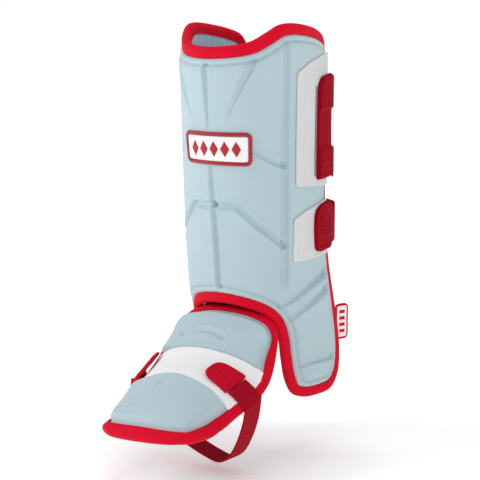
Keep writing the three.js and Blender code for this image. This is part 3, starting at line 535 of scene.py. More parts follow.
def pattern_triangles(line, cell, rows=()):
    """Flat points and triangles inside an outline, the outline's points first."""
    low, high = line.min(0), line.max(0)
    levels = np.arange(low[1] + cell / 2, high[1], cell * 0.866)
    field = [
        np.stack(np.meshgrid(np.arange(low[0] + (k % 2) * cell / 2, high[0], cell), [y]), -1)[0]
        for k, y in enumerate(levels)
    ]
    field = np.concatenate(field) if field else np.zeros((0, 2))
    deepest = max(rows, default=0)
    field = field[depth_inside(line, field) > deepest + cell * 0.6]
    rings = []
    for row in rows:
        ring = inset(line, row)
        rings.append(ring[depth_inside(line, ring) > 0.85 * row])
    points = np.concatenate([line, *rings, field])
    flat = [Vector(p) for p in points]
    corners, _, faces, origin, _, _ = delaunay_2d_cdt(flat, [], [list(range(len(line)))], 1, 1e-5)
    origin = np.array([o[0] for o in origin])
    faces = np.array([[origin[i] for i in f] for f in faces])
    used = np.zeros(len(points), int) - 1
    keep = np.unique(np.concatenate([np.arange(len(line)), faces.ravel()]))
    used[keep] = np.arange(len(keep))
    return points[keep], used[faces]


def panel(name, surface, line, outer, inner, look, cell=1.5, back_cell=6.0, rows=()):
    """A closed panel: a fine outer face, a coarser inner face and a wall round the edge.

    `outer` and `inner` take across, along and the depth inside the outline, and give the
    distance out of the surface in millimetres.
    """
    front, front_faces = pattern_triangles(line, cell, rows)
    back, back_faces = pattern_triangles(line, back_cell)
    count, ring = len(front), len(line)
    shares = surface.shares(front)
    lifted = outer(shares[:, 0], shares[:, 1], np.maximum(depth_inside(line, front), 0))
    points = surface.place(shares[:, 0], shares[:, 1], lifted)
    back_shares = surface.shares(back)
    sunk = inner(back_shares[:, 0], back_shares[:, 1], np.maximum(depth_inside(line, back), 0))
    back_points = surface.place(back_shares[:, 0], back_shares[:, 1], sunk)
    i = np.arange(ring)
    j = (i + 1) % ring
    wall = np.stack([i, count + i, count + j, j], 1)
    faces = [*front_faces, *(back_faces[:, ::-1] + count), *wall]
    return mesh_piece(
        name,
        np.concatenate([points, back_points]),
        faces,
        np.concatenate([front, back]),
        look,
    )


print("panel maker ready")


# %% Tape and straps: one section swept along a line
def swept(name, rings, uv, closed, look):
    """A body through matching sections, joined end to end or closed with flat ends."""
    rings = np.asarray(rings)
    spans, count = len(rings) if closed else len(rings) - 1, rings.shape[1]
    faces = []
    for i in range(spans):
        here, there = i * count, ((i + 1) % len(rings)) * count
        for j in range(count):
            k = (j + 1) % count
            faces.append((here + j, here + k, there + k, there + j))
    if not closed:
        faces.append(tuple(range(count))[::-1])
        faces.append(tuple(range((len(rings) - 1) * count, len(rings) * count)))
    return mesh_piece(name, rings.reshape(-1, 3), faces, np.asarray(uv).reshape(-1, 2), look)


def strip_pattern(run, across):
    """Pattern places of matching sections: a distance for each section and for each point of one."""
    return np.stack(np.broadcast_arrays(np.asarray(run)[:, None], np.asarray(across)[None]), -1)


print("sweep maker ready")

# %% [markdown]
# ## Cloth finishes
#
# Several kinds of cloth show: the smooth laminate on the foam, ribbed tape and elastic,
# plain webbing, satin and brushed loop. Each is a plain Principled surface. What they share is
# built once as node groups: a weave from two crossed waves, ribs from one wave, and
# a soft mottling that keeps a large area from looking like plastic. All of them read
# the flat pattern, so the threads run with the cloth and turn with it round a corner.


# %% Node group helper
def new_group(name, inputs, outputs):
    """An empty shader group with the inputs and outputs named."""
    group = bpy.data.node_groups.new(name, "ShaderNodeTree")
    for label, kind, value in inputs:
        socket = group.interface.new_socket(name=label, in_out="INPUT", socket_type=kind)
        socket.default_value = value
    for label, kind in outputs:
        group.interface.new_socket(name=label, in_out="OUTPUT", socket_type=kind)
    return group, group.nodes.new("NodeGroupInput"), group.nodes.new("NodeGroupOutput")


FLOAT, VECTOR, COLOUR = "NodeSocketFloat", "NodeSocketVector", "NodeSocketColor"

# %% Group: ribs and crossed threads
thread_group, entry, leave = new_group(
    "threads",
    [("Pattern", VECTOR, (0, 0, 0)), ("Across", FLOAT, 10.0), ("Along", FLOAT, 10.0)],
    [("Ribs", FLOAT), ("Weave", FLOAT)],
)
split = node(thread_group, "ShaderNodeSeparateXYZ", {0: entry.outputs["Pattern"]})
waves = []
for axis, count in enumerate(("Across", "Along")):
    turns = maths(thread_group, "MULTIPLY", split.outputs[axis], entry.outputs[count])
    waves.append(maths(thread_group, "SINE", maths(thread_group, "MULTIPLY", turns, 2 * math.pi)))
crossed = maths(thread_group, "MULTIPLY", *waves)
for label, wave in (("Ribs", waves[0]), ("Weave", crossed)):
    raised = maths(thread_group, "ADD", maths(thread_group, "MULTIPLY", wave, 0.5), 0.5)
    fill(thread_group, leave, {label: raised})
print("group", thread_group.name)

# %% Group: mottling
mottle_group, entry, leave = new_group(
    "mottling",
    [
        ("Colour", COLOUR, (1, 1, 1, 1)),
        ("Shade", COLOUR, (0.5, 0.5, 0.5, 1)),
        ("Amount", FLOAT, 0.3),
        ("Scale", FLOAT, 30.0),
    ],
    [("Colour", COLOUR), ("Mask", FLOAT)],
)
place = node(mottle_group, "ShaderNodeTexCoord").outputs["Object"]
cloud = node(
    mottle_group, "ShaderNodeTexNoise", {"Vector": place, "Scale": entry.outputs["Scale"], "Detail": 4}
).outputs["Fac"]
mask = maths(mottle_group, "MULTIPLY", cloud, entry.outputs["Amount"])
mix = node(mottle_group, "ShaderNodeMix", data_type="RGBA")
fill(mottle_group, mix, {0: mask, 6: entry.outputs["Colour"], 7: entry.outputs["Shade"]})
fill(mottle_group, leave, {"Colour": mix.outputs[2], "Mask": cloud})
print("group", mottle_group.name)


# %% One function for every cloth
def srgb(code):
    """A hex colour as linear values."""
    values = [int(code[i : i + 2], 16) / 255 for i in (1, 3, 5)]
    return [v / 12.92 if v <= 0.04045 else ((v + 0.055) / 1.055) ** 2.4 for v in values] + [1.0]


# Grey that paints the shade between the threads
PAINTED_SHADE_BETWEEN_THREADS = (0.55, 0.55, 0.55, 1)


def cloth(
    name, colour, shade, roughness, threads, ribbed=False, bump=0.3, depth=0.02,
    mottle=0.5, scale=25.0, painted_thread_shade=0.0, sheen=0.0, gloss=0.12,
):
    """A woven finish. `threads` are counts per centimetre across and along the pattern."""
    look = bpy.data.materials.new(name)
    look.use_nodes = True
    tree = look.node_tree
    pattern = node(tree, "ShaderNodeUVMap", uv_map="pattern").outputs[0]
    thread = node(tree, "ShaderNodeGroup", node_tree=thread_group)
    fill(tree, thread, {"Pattern": pattern, "Across": threads[0], "Along": threads[1]})
    height = thread.outputs["Ribs" if ribbed else "Weave"]
    mottled = node(tree, "ShaderNodeGroup", node_tree=mottle_group)
    fill(tree, mottled, {"Colour": srgb(colour), "Shade": srgb(shade), "Amount": mottle, "Scale": scale})
    tint = mottled.outputs["Colour"]
    # Painted shade between the threads: the colour is darkened where the weave's bump is low
    if painted_thread_shade:
        gap = maths(tree, "MULTIPLY", maths(tree, "SUBTRACT", 1.0, height), painted_thread_shade)
        darker = node(tree, "ShaderNodeMix", data_type="RGBA", blend_type="MULTIPLY")
        fill(tree, darker, {0: gap, 6: tint, 7: PAINTED_SHADE_BETWEEN_THREADS})
        tint = darker.outputs[2]
    relief = node(tree, "ShaderNodeBump", {"Strength": bump, "Distance": depth * MM, "Height": height})
    finish = {
        "Base Color": tint, "Roughness": roughness, "Specular IOR Level": gloss,
        "Sheen Weight": sheen, "Sheen Roughness": 0.5, "Normal": relief.outputs["Normal"],
    }
    fill(tree, tree.nodes["Principled BSDF"], finish)
    print("finish", name)
    return look


laminate = cloth("laminate", "#b6cbd2", "#a9c0c8", 0.6, (13, 13), bump=0.2, depth=0.05, sheen=0.15, gloss=0.3)
spacer = cloth("spacer_mesh", "#cfeefd", "#bce2f3", 0.8, (2.2, 2.8), bump=1.0, depth=1.2, painted_thread_shade=0.9)
tape = cloth("tape", "#e40029", "#cc0024", 0.7, (9, 5), ribbed=True, bump=0.7, depth=0.14, painted_thread_shade=0.25)
webbing = cloth("webbing", "#b00022", "#900019", 0.8, (7, 9), bump=0.6, depth=0.12, painted_thread_shade=0.3)
elastic = cloth("elastic", "#a00020", "#8e001a", 0.8, (7, 4), ribbed=True, bump=0.6, depth=0.15, painted_thread_shade=0.3)
tab_cloth = cloth(
    "tab_cloth", "#9e001b", "#8a0016", 0.75, (8, 8), bump=0.5, depth=0.08, painted_thread_shade=0.2, gloss=0.04
)
foot_tab_cloth = cloth(
    "foot_tab_cloth", "#cf0028", "#b80022", 0.75, (8, 8), bump=0.5, depth=0.08, painted_thread_shade=0.2
)
satin = cloth(
    "satin_thread", "#b5001c", "#8a0012", 0.45, (2, 12), ribbed=True, bump=0.8, depth=0.12, gloss=0.5
)
loop_pile = cloth(
    "loop_pile", "#dcdcdc", "#cfd0d1", 0.95, (3.2, 9), ribbed=True, bump=0.5, depth=0.12, painted_thread_shade=0.12, scale=60
)
band_cloth = cloth("band_cloth", "#f4f4f4", "#e9eaeb", 0.7, (14, 14), bump=0.3, depth=0.05, mottle=0.35)
thread = cloth("sewing_thread", "#c4001d", "#9c0016", 0.6, (20, 20), bump=0.2, depth=0.02, gloss=0.3)
# Grey hook pile. Its strip at the upper tab's front edge also paints the shade along that edge
hook_pile_and_edge_shade = cloth(
    "hook_pile_and_edge_shade", "#a5a5a8", "#7d7d82", 0.9, (9, 9), bump=1.0, depth=0.3, painted_thread_shade=0.4, mottle=0.8, scale=400
)

# %% [markdown]
# ## Shin panel
#
# The big panel is one moulding: a front face between two upright grooves, a pair of
# side wings, flutes that let it flex above the ankle, and thinner lines that radiate
# from the badge. The lines are pressed in, so each is a path with a width, a depth and
# a soft shoulder. At the edge the foam is pressed thin, and a rolled strip lies between
# the tape and the first crease. The edge itself runs on under the tape.

# %% Relief tools
TAPE_WIDTH = 10.5
# A pressed line: the flat share of its width, what the shoulders add to half of it, and the
# least fullness at a faded end
CHANNEL_FLOOR, CHANNEL_SPREAD, LEAST_FULLNESS = 0.5, 0.7, 0.2


def ease(x):
    """0 to 1, smooth at both ends."""
    x = np.clip(x, 0, 1)
    return x * x * (3 - 2 * x)


def path_distance(surface, path, points):
    """Distance, signed side and travelled share from flat points to a path of shares."""
    path = np.asarray(path, float)
    fine = np.concatenate(
        [np.linspace(a, b, 12, endpoint=False) for a, b in zip(path, path[1:])] + [path[-1:]]
    )
    line = surface.flat(fine)
    run = chain_run(line)
    near = np.full(len(points), np.inf)
    side = np.zeros(len(points))
    share = np.zeros(len(points))
    for a, b, start in zip(line, line[1:], run):
        step = b - a
        length = np.linalg.norm(step)
        t = np.clip(((points - a) @ step) / length**2, 0, 1)
        gap = points - (a + t[:, None] * step)
        away = np.linalg.norm(gap, axis=1)
        closer = away < near
        near[closer] = away[closer]
        side[closer] = np.sign(step[0] * gap[closer, 1] - step[1] * gap[closer, 0])
        share[closer] = (start + t[closer] * length) / run[-1]
    return near, side, share


def pressed(surface, points, path, width, depth, taper=(1, 1), shoulder=0.6):
    """How far a pressed line lowers the foam. Its ends may fade, by the tapers."""
    near, _, share = path_distance(surface, path, points)
    fade = taper[0] + (taper[1] - taper[0]) * share
    half = (width / 2 + CHANNEL_SPREAD) * np.maximum(fade, LEAST_FULLNESS)
    groove = depth * fade * (1 - ease((near / half - CHANNEL_FLOOR) / (1 - CHANNEL_FLOOR)))
    lip = shoulder * fade * np.exp(-(((near - half * 1.35) / (half * 0.45)) ** 2))
    return groove - lip


print("relief tools ready")

# %% The pressed lines of the shin panel
# Columns: points of across and along, width, depth, how full each end is
SHIN_LINES = [
    ([(0, 0.902), (0, 0.735)], 7, 3.4, (1, 0.35)),
    ([(0, 0.632), (0, 0.535)], 6.5, 2.8, (0.7, 1)),
    ([(0, 0.535), (0, 0.29)], 6.5, 3.2, (1, 1)),
    ([(0.285, 0.91), (0.211, 0.84), (0.135, 0.76)], 10, 3.6, (1, 0.2)),
    ([(0.288, 0.675), (0.376, 0.655), (0.497, 0.637)], 6, 2.8, (0.6, 1)),
    ([(0, 0.531), (0.165, 0.531), (0.2, 0.521), (0.309, 0.483), (0.497, 0.425)], 6.5, 3.2, (1, 1)),
    ([(0.45, 0.262), (0.485, 0.267), (0.596, 0.287), (0.741, 0.312), (0.949, 0.333), (1.06, 0.342)],
     11.5, 5.4, (0.45, 1)),
    ([(0.54, 0.222), (0.568, 0.229), (0.686, 0.252), (0.989, 0.291), (1.1, 0.304)], 11, 5.2, (0.4, 1)),
    ([(0.66, 0.094), (0.76, 0.099), (0.837, 0.1), (1.1, 0.1)], 7.5, 3.8, (0.5, 1)),
]
SIDE_LINE = [(0.497, 0.972), (0.497, 0.3)]
SIDE_HALF, SIDE_DEPTH, SIDE_FLOOR = 4.8, 3.6, 0.45
SIDE_RIDGE, SIDE_RIDGE_AWAY, SIDE_RIDGE_SPREAD = 1.2, 6.6, 1.9
HIGHEST, HIGHEST_SEWN = 1.1, 0.3
# Boxes of across and along where cloth is sewn on the foam and holds it flat
SEWN_ON = [(0.55, 1.2, 0.36, 0.93), (-0.23, 0.29, 0.635, 0.735)]
# Columns: distance from the outline, height of the rolled strip beside the tape
EDGE_STRIP = np.array(
    [
        (10.2, -5.2), (10.8, -3.6), (11.8, -2.0), (13.4, -1.3), (15, -1.7),
        (16, -3.1), (17, -3.1), (18.2, -0.8), (21, 0),
    ]
)


def shin_relief(across, along, depth):
    """Height of the outer face over the plain bent surface, in millimetres."""
    points = shin.flat(np.stack([np.abs(across), along], 1))
    height = np.zeros(len(points))
    for path, width, deep, taper in SHIN_LINES:
        height -= pressed(shin, points, path, width, deep, taper)
    near, side, share = path_distance(shin, SIDE_LINE, points)
    fade = ease(share * 30) * ease((1 - share) * 14) * 0.85 + 0.15
    height -= SIDE_DEPTH * fade * (1 - ease((near / SIDE_HALF - SIDE_FLOOR) / (1 - SIDE_FLOOR)))
    ridge = np.exp(-(((near - SIDE_RIDGE_AWAY) / SIDE_RIDGE_SPREAD) ** 2))
    height += SIDE_RIDGE * fade * np.where(side > 0, ridge, 0)
    height = np.minimum(height, HIGHEST)
    for left, right, low, high in SEWN_ON:
        held = (across > left) & (across < right) & (along > low) & (along < high)
        height = np.where(held, np.minimum(height, HIGHEST_SEWN), height)
    inside = depth + UNDER_TAPE
    return height * ease((inside - 12) / 6) + np.interp(inside, *EDGE_STRIP.T)


# %% Build the shin panel
UNDER_TAPE = TAPE_WIDTH - 3.0
shin_edge = inset(shin_line, UNDER_TAPE)


def shin_inner(across, along, depth):
    """The back of the foam, pressed thinner where the tape grips it."""
    return np.interp(depth, (0, 3.2, 5), (-8.7, -8.7, -9.5))


shin_panel = panel("shin_padding", shin, shin_edge, shin_relief, shin_inner, laminate, cell=1.7)
stand_for(shin_panel, "shin_shell")

# %% [markdown]
# ## Liner
#
# Inside is a spacer mesh, a soft knitted sheet with rows of open cells. It is thin
# and follows the foam, so it is a second panel with nearly no relief of its own.


# %% Build the liner
def liner_outer(across, along, depth):
    return np.interp(depth, (0, 3.2, 5), (-9.0, -9.0, -9.9))


def liner_inner(across, along, depth):
    quilt = np.where(depth > 8, 0.14 * np.cos(across * 60) * np.cos(along * 110), 0)
    return np.interp(depth, (0, 3.2, 6, 12), (-10.6, -10.6, -11.8, -11.9)) + quilt


liner = panel(
    "shin_mesh_liner", shin, shin_edge, liner_outer, liner_inner, spacer,
    cell=6.0, back_cell=2.6,
)
stand_for(liner, "shin_liner")

# %% [markdown]
# ## Edge tape
#
# The red edge is a woven tape folded over the foam and sewn down, so its section is a
# C with a round back and two thin lips. It is swept round the outline, with a slight
# unevenness where the machine eased it round the bends.


# %% Tape section and sweep
def tape_section(sink, depth, wall=1.1):
    """Inward and outward places of the folded tape's section, back to its start.

    Places further in than the round back are shares of the way from it to the lip.
    """
    turn = depth / 2
    angles = np.radians(np.linspace(0, 180, 13))
    outside = [(1.0, -0.35), (0.94, 0.1), (0.75, 0.45), (0.45, 0.7), (0.15, 0.75)]
    outside = [(share, True, out) for share, out in outside]
    across, up = turn + 0.7, turn + 0.75
    outside += [(turn - across * math.sin(a), False, up * math.cos(a) - turn) for a in angles]
    outside += [(0.2, True, -depth - 0.5), (0.7, True, -depth - 0.3), (1.0, True, -depth)]
    inner = turn - wall
    inside = [(1.0, True, wall - depth)]
    inside += [(turn - inner * math.sin(a), False, -inner * math.cos(a) - turn) for a in angles]
    inside += [(1.0, True, -wall - 0.35)]
    return turn, [(inward, lip, out - sink) for inward, lip, out in outside + inside]


def edge_tape(name, surface, line, sink, depth, waves, width=lambda along: TAPE_WIDTH + 0 * along):
    """The folded tape round one outline, with a lip of the width asked for at each level."""
    turn, section = tape_section(sink, depth)
    run = chain_run(looped(line))
    at = run[:-1] / run[-1] * 2 * math.pi
    ripple = sum(0.1 * np.sin(at * count + count) for count in waves)
    level = surface.shares(line)[:, 1]
    rings = []
    for inward, lip, out in section:
        reach = turn + inward * (width(level) - turn) if lip else np.full(len(line), inward)
        flat = inset(line, reach[:, None], smooth=6)
        rings.append(surface.lift(flat, out + ripple * (lip and inward < 0.97)))
    rings = np.stack(rings, 1)
    return swept(name, rings, strip_pattern(run[:-1], chain_run(rings[0])), True, tape)


shin_tape = edge_tape("shin_edge_tape", shin, shin_line, 3.5, 8.4, (47, 83, 121))
stand_for(shin_tape, "shin_binding")

# %% [markdown]
# ## Foot panel
#
# The instep and toe guard is a second moulding, domed across and bent along. A white
# band crosses it in a shallow recess. Each half has a raised face with a chamfer down
# to the tape, wider at the sides. The upper half has one short pressed crease and the
# lower half two faint marks.

# %% Foot relief
BAND_FROM, BAND_TO, BAND_RECESS = 0.214, 0.503, 2.4
# Columns: distance from the tape's lip, height of the foam there
FOOT_FLANGE = np.array(
    [(-1.2, -2.4), (-0.3, -1.9), (0.8, -1.9), (1.8, -2.6), (8.4, 1.4), (9.2, 1.6), (20, 0.9), (30, 0.5)]
)
LIP_OVERLAP, EDGE_ROUNDING = 3.0, 1.3
# Lines of across and along, width, depth, how full each end is, height of the shoulder
FOOT_LINES = [
    ([(-0.43, 0.15), (-0.2, 0.134), (0, 0.136), (0.17, 0.152)], 5, 2.4, (0.7, 0.7), 0.7),
    ([(-0.1, 0.59), (-0.114, 0.68)], 3.5, 1.1, (0.9, 0.4), 0.3),
    ([(-0.24, 0.80), (-0.1, 0.792)], 3.5, 1.1, (0.9, 0.4), 0.3),
]


def foot_tape_width(along):
    """The tape is narrow at the throat and wide round the sides and the toe."""
    return 5.6 + 7.5 * ease((along - 0.015) / 0.13)


def under_foot_tape(along):
    """How far in from the outline the foot's foam starts."""
    return foot_tape_width(along) - LIP_OVERLAP


def foot_relief(across, along, depth):
    """Height of the foot panel's outer face over its plain surface."""
    points = foot.flat(np.stack([across, along], 1))
    from_lip = depth - LIP_OVERLAP
    throat = 1 - ease((along - 0.04) / 0.09)
    raised = np.interp(from_lip * (1 + 1.5 * throat * (from_lip > 0)), *FOOT_FLANGE.T)
    upper = ease((0.19 - along) / 0.13)
    toe = ease((along - 0.62) / 0.3)
    far_corner = toe * ease((-across - 0.1) / 0.5)
    lifted = ease((from_lip - 0.5) / 4)
    far_side = ease((-across - 0.35) / 0.3) * (1 - toe)
    height = raised + lifted * (1.5 * upper + 1.1 * toe + 2.2 * far_corner + 2.6 * far_side)
    for line in FOOT_LINES:
        height -= pressed(foot, points, *line)
    over = np.minimum(np.abs(along - BAND_FROM), np.abs(along - BAND_TO)) * foot.length
    band = (along > BAND_FROM) & (along < BAND_TO)
    sunk = np.maximum(EDGE_ROUNDING - over, 0)
    edge = EDGE_ROUNDING - np.sqrt(np.maximum(EDGE_ROUNDING**2 - sunk**2, 0))
    return np.where(band, np.minimum(-BAND_RECESS, raised), height - edge)


foot_edge = inset(foot_line, under_foot_tape(foot.shares(foot_line)[:, 1])[:, None])


def foot_inner(across, along, depth):
    return np.full(len(across), -6.9)


foot_panel = panel("foot_padding", foot, foot_edge, foot_relief, foot_inner, laminate, cell=1.2)
stand_for(foot_panel, "foot_shell")
foot_tape = edge_tape("foot_edge_tape", foot, foot_line, 0.6, 7.8, (29, 53, 71), foot_tape_width)
stand_for(foot_tape, "foot_binding")


# %% [markdown]
# ## Flat cloth pieces
#
# The patches, tabs, band and badge are flat cloth with a soft cut edge. They use the
# same panel maker, with straight sides and rounded corners for an outline.


# %% Outlines with straight sides
def rounded_line(surface, corners, radius, pitch=1.2):
    """A closed outline in flat millimetres with straight sides and rounded corners."""
    shares = np.array([c[:2] for c in corners], float)
    width = surface.half_width(shares[:1, 1])[0]
    flat = shares * (width, surface.length)
    made = []
    for i, corner in enumerate(flat):
        ends = []
        for other in (flat[i - 1], flat[(i + 1) % len(flat)]):
            away = np.linalg.norm(other - corner)
            reach = min(corners[i][2] if len(corners[i]) > 2 else radius, away / 2.5)
            ends.append(corner + (other - corner) / away * reach)
        t = np.linspace(0, 1, 9)[:, None]
        made.append((1 - t) ** 2 * ends[0] + 2 * t * (1 - t) * corner + t**2 * ends[1])
    chain = looped(np.concatenate(made))
    return surface.flat(spaced(chain, pitch)[:-1] / (width, surface.length))


def soft_cloth(name, surface, line, inner, wall, look, cell=2.0, swell=None, lift=None):
    """A flat cloth piece whose outer edge rolls over.

    `swell` adds to the outer face only and `lift` to both faces, in millimetres.
    """
    roll = wall * 0.75

    def raised(across, along):
        return lift(across, along) if lift else np.zeros(len(across))

    def outer(across, along, depth):
        down = np.clip(roll - depth, 0, roll)
        fall = roll - np.sqrt(np.maximum(roll**2 - down**2, 0))
        more = swell(across, along, depth) if swell else 0
        return inner + wall - fall * min(1, wall * 0.8 / roll) + more + raised(across, along)

    rows = (roll * 0.3, roll * 0.7, roll * 1.2)
    return panel(
        name, surface, line, outer, lambda a, b, d: inner + raised(a, b), look,
        cell=cell, back_cell=max(cell, 4.0), rows=rows,
    )


CLEAR = 0.4
PATCH_WALL, TAB_WALL, ELASTIC_WALL = 1.4, 2.6, 1.6
TAB_IN = CLEAR + PATCH_WALL + CLEAR
TAB_OUT = TAB_IN + TAB_WALL
UPPER_PATCH = [(0.58, 0.58), (0.58, 0.875), (0.71, 0.9), (1, 0.925), (1, 0.567)]
LOWER_PATCH = [(0.559, 0.38), (0.564, 0.495), (0.674, 0.514), (1, 0.535), (1, 0.385)]
UPPER_TAB = [(0.79, 0.589), (0.793, 0.831), (0.84, 0.859), (1.06, 0.867), (1.06, 0.589)]
LOWER_TAB = [
    (0.775, 0.404), (0.762, 0.47), (0.777, 0.508), (0.85, 0.522),
    (1.04, 0.53), (1.04, 0.398), (0.85, 0.396),
]

# %% Loop patches and hook tabs
for name, corners, solid in (
    ("loop_cloth_upper", UPPER_PATCH, "loop_patch_upper"),
    ("loop_cloth_lower", LOWER_PATCH, "loop_patch_lower"),
):
    line = rounded_line(shin, corners, 4)
    patch = soft_cloth(name, shin, line, CLEAR, PATCH_WALL, loop_pile)
    stand_for(patch, solid)


def over_elastics(across, along, depth):
    """The upper tab stands higher where an elastic end is sewn between its layers."""
    top = ease((along - 0.767) / 0.012)
    bottom = ease((0.675 - along) / 0.012)
    return 2.3 * np.maximum(top, bottom) * ease(depth / 3)


def at_front(across, along, depth):
    """The lower tab is thickest at its folded front."""
    return 0.9 * ease((0.82 - across) / 0.05) * ease(depth / 2)


for name, corners, solid, swell in (
    ("hook_tab_cloth_upper", UPPER_TAB, "hook_tab_upper", over_elastics),
    ("hook_tab_cloth_lower", LOWER_TAB, "hook_tab_lower", at_front),
):
    line = rounded_line(shin, corners, 6)
    tab = soft_cloth(name, shin, line, TAB_IN, TAB_WALL, tab_cloth, cell=1.6, swell=swell)
    stand_for(tab, solid)

# %% [markdown]
# ## Badge
#
# A small shield is sewn on the front: a raised satin border round a white twill field.
# It is left without any lettering. The field carries a plain row of diamonds.

# %% Badge border and field
BADGE = [(-0.2, 0.641), (-0.2, 0.725), (0.28, 0.725), (0.28, 0.638)]
BADGE_BORDER, BADGE_WALL, BORDER_WALL = 3.4, 1.4, 2.2
badge_line = rounded_line(shin, BADGE, 7, pitch=0.8)


def badge_ring(line):
    """The satin border: a rounded bead swept round the badge."""
    rings, profile = [], []
    for angle in np.linspace(0, 2 * math.pi, 16, endpoint=False):
        inward = BADGE_BORDER / 2 - math.cos(angle) * BADGE_BORDER / 2
        out = CLEAR + max(0, math.sin(angle)) ** 0.7 * BORDER_WALL
        profile.append((inward, out))
    for inward, out in profile:
        rings.append(shin.lift(inset(line, inward, smooth=2), out))
    uv = strip_pattern(chain_run(looped(line))[:-1], chain_run(np.array(profile)))
    return swept("badge_satin_border", np.stack(rings, 1), uv, True, satin)


stand_for(badge_ring(badge_line), "badge_border")
badge_inside = inset(badge_line, BADGE_BORDER + CLEAR, smooth=2)
badge_cloth = soft_cloth(
    "badge_twill_field", shin, badge_inside, CLEAR, BADGE_WALL, band_cloth, cell=1.5
)
stand_for(badge_cloth, "badge_field")

# %% [markdown]
# ## White band
#
# The band is a smooth cloth that lies in the recess of the foot panel. The tab of the
# strap closes on it. Its ends stop at the panel's edge.

# %% Band in its recess
BAND_WALL = 1.4
BAND_IN = CLEAR - BAND_RECESS
foot_trim = inset(foot_line, TAPE_WIDTH + 0.8)


def side_reach(along):
    """Across share where the foot panel ends at one level."""
    shares = foot.shares(foot_trim)
    right = shares[shares[:, 0] > 0.3]
    right = right[np.argsort(right[:, 1])]
    return np.interp(along, right[:, 1], right[:, 0])


gap = CLEAR / foot.length
levels = np.linspace(BAND_FROM + gap, BAND_TO - gap, 50)
right_side = np.stack([side_reach(levels), levels], 1)
left_side = right_side[::-1] * (-1, 1)
bottom = np.stack([np.linspace(right_side[-1, 0], left_side[0, 0], 130), np.full(130, levels[-1])], 1)
top = np.stack([np.linspace(left_side[-1, 0], right_side[0, 0], 130), np.full(130, levels[0])], 1)
band_line = foot.flat(np.concatenate([right_side[:-1], bottom[:-1], left_side[:-1], top[:-1]]))
foot_band = soft_cloth("foot_band_cloth", foot, band_line, BAND_IN, BAND_WALL, band_cloth, cell=1.8)
stand_for(foot_band, "foot_band")

# %% [markdown]
# ## Straps
#
# Webbing and elastic are modelled directly as flat ribbons: a thin section with rounded
# edges, carried along its real path. The three elastics run from the tabs round behind
# the calf to the far side. The last strap goes from tab to tab under the foot.


# %% Ribbon along a path
def ribbon(name, centre, widthwise, outward, width, wall, look, slot):
    """A flat strap with softly rounded edges. All three inputs are arrays per step."""
    half, thick = width / 2, wall / 2
    section = [(-half + 0.1, -thick * 0.5), (-half + 0.6, -thick)]
    section += [(w, -thick) for w in np.linspace(-half + 2, half - 2, 7)]
    section += [(half - 0.6, -thick), (half - 0.1, -thick * 0.5)]
    section += [(half - 0.1, thick * 0.5), (half - 0.6, thick * 0.95)]
    section += [(w, thick) for w in np.linspace(half - 2, -half + 2, 7)]
    section += [(-half + 0.6, thick * 0.95), (-half + 0.1, thick * 0.5)]
    rings = np.stack([centre + w * widthwise + t * outward for w, t in section], 1)
    uv = strip_pattern(chain_run(centre), [w for w, _ in section])
    return swept(name, rings, uv, False, look)


def unit(vectors):
    return vectors / np.linalg.norm(vectors, axis=-1, keepdims=True)


def on_surface(surface, across, level, inner, wall):
    """Centre, width direction and outward direction along a level of a surface."""
    level = np.full(len(across), level)
    centre = surface.place(across, level, inner + wall / 2)
    up = unit(surface.place(across, level + STEP, inner) - surface.place(across, level - STEP, inner))
    outward = unit(surface.place(across, level, inner + 1) - surface.place(across, level, inner))
    return centre, up, outward


print("ribbon maker ready")

# %% Elastic straps behind the calf
REAR_EDGE, BACKSTEP, CALF_FULLNESS = 1.09, 0.09, 0.44
ELASTIC_END = -0.86


def calf_strap(name, start, level, width, inner):
    """An elastic from a tab round behind the calf to the far side."""
    near = on_surface(shin, np.linspace(start, REAR_EDGE, 40), level, inner, ELASTIC_WALL)
    far = on_surface(shin, np.linspace(-REAR_EDGE, ELASTIC_END, 40), level, CLEAR, ELASTIC_WALL)

    def middle(across, inside):
        return shin.place(np.array([across]), np.array([level]), inside + ELASTIC_WALL / 2)[0]

    begin, end = middle(REAR_EDGE, inner), middle(-REAR_EDGE, CLEAR)
    away = (begin - middle(REAR_EDGE - BACKSTEP, inner)) * (1, 1, 0)
    home = (end - middle(BACKSTEP - REAR_EDGE, CLEAR)) * (1, 1, 0)
    handle = np.linalg.norm(end - begin) * CALF_FULLNESS
    knots = [begin, begin + unit(away) * handle, end + unit(home) * handle, end]
    t = np.linspace(0, 1, 90)[1:-1, None]
    weights = ((1 - t) ** 3, 3 * t * (1 - t) ** 2, 3 * t**2 * (1 - t), t**3)
    free = sum(w * k for w, k in zip(weights, knots))
    run = np.gradient(free, axis=0)
    outward = unit(np.cross(run, (0, 0, 1)))
    up = np.tile((0.0, 0.0, 1.0), (len(free), 1))
    parts = [np.concatenate(group) for group in zip(near, (free, up, outward), far)]
    return ribbon(name, *parts, width, ELASTIC_WALL, elastic, "elastic")


lower_start = 1.04 + CLEAR / shin.half_width(np.array(0.462))
for name, start, level, width, inner, solid in (
    ("calf_elastic_top", 1.063, 0.816, 29, TAB_OUT - 1, "calf_strap_top"),
    ("calf_elastic_middle", 1.063, 0.625, 29, TAB_OUT - 1, "calf_strap_middle"),
    ("calf_elastic_lower", lower_start, 0.462, 38, TAB_IN, "calf_strap_lower"),
):
    stand_for(calf_strap(name, start, level, width, inner), solid)

# %% Strap under the foot
WEBBING_WIDTH, WEBBING_WALL, FOOT_TAB_WALL, FOOT_TAB_WIDTH = 25.0, 2.0, 3.2, 29.0
FOOT_TAB_IN = max(BAND_IN + BAND_WALL, -0.6) + CLEAR
STIRRUP_LEAVES = 0.95
# Columns: side, from, to, level, width of the free end, then how far the free end, the
# whole tab and its two ends stand off
NEAR_TAB = (1, 0.265, 0.615, 0.368, 30, 3.0, 0.0, 0.0)
FAR_TAB = (-1, 0.6, 0.88, 0.345, 44, 0.0, 2.8, 0.6)
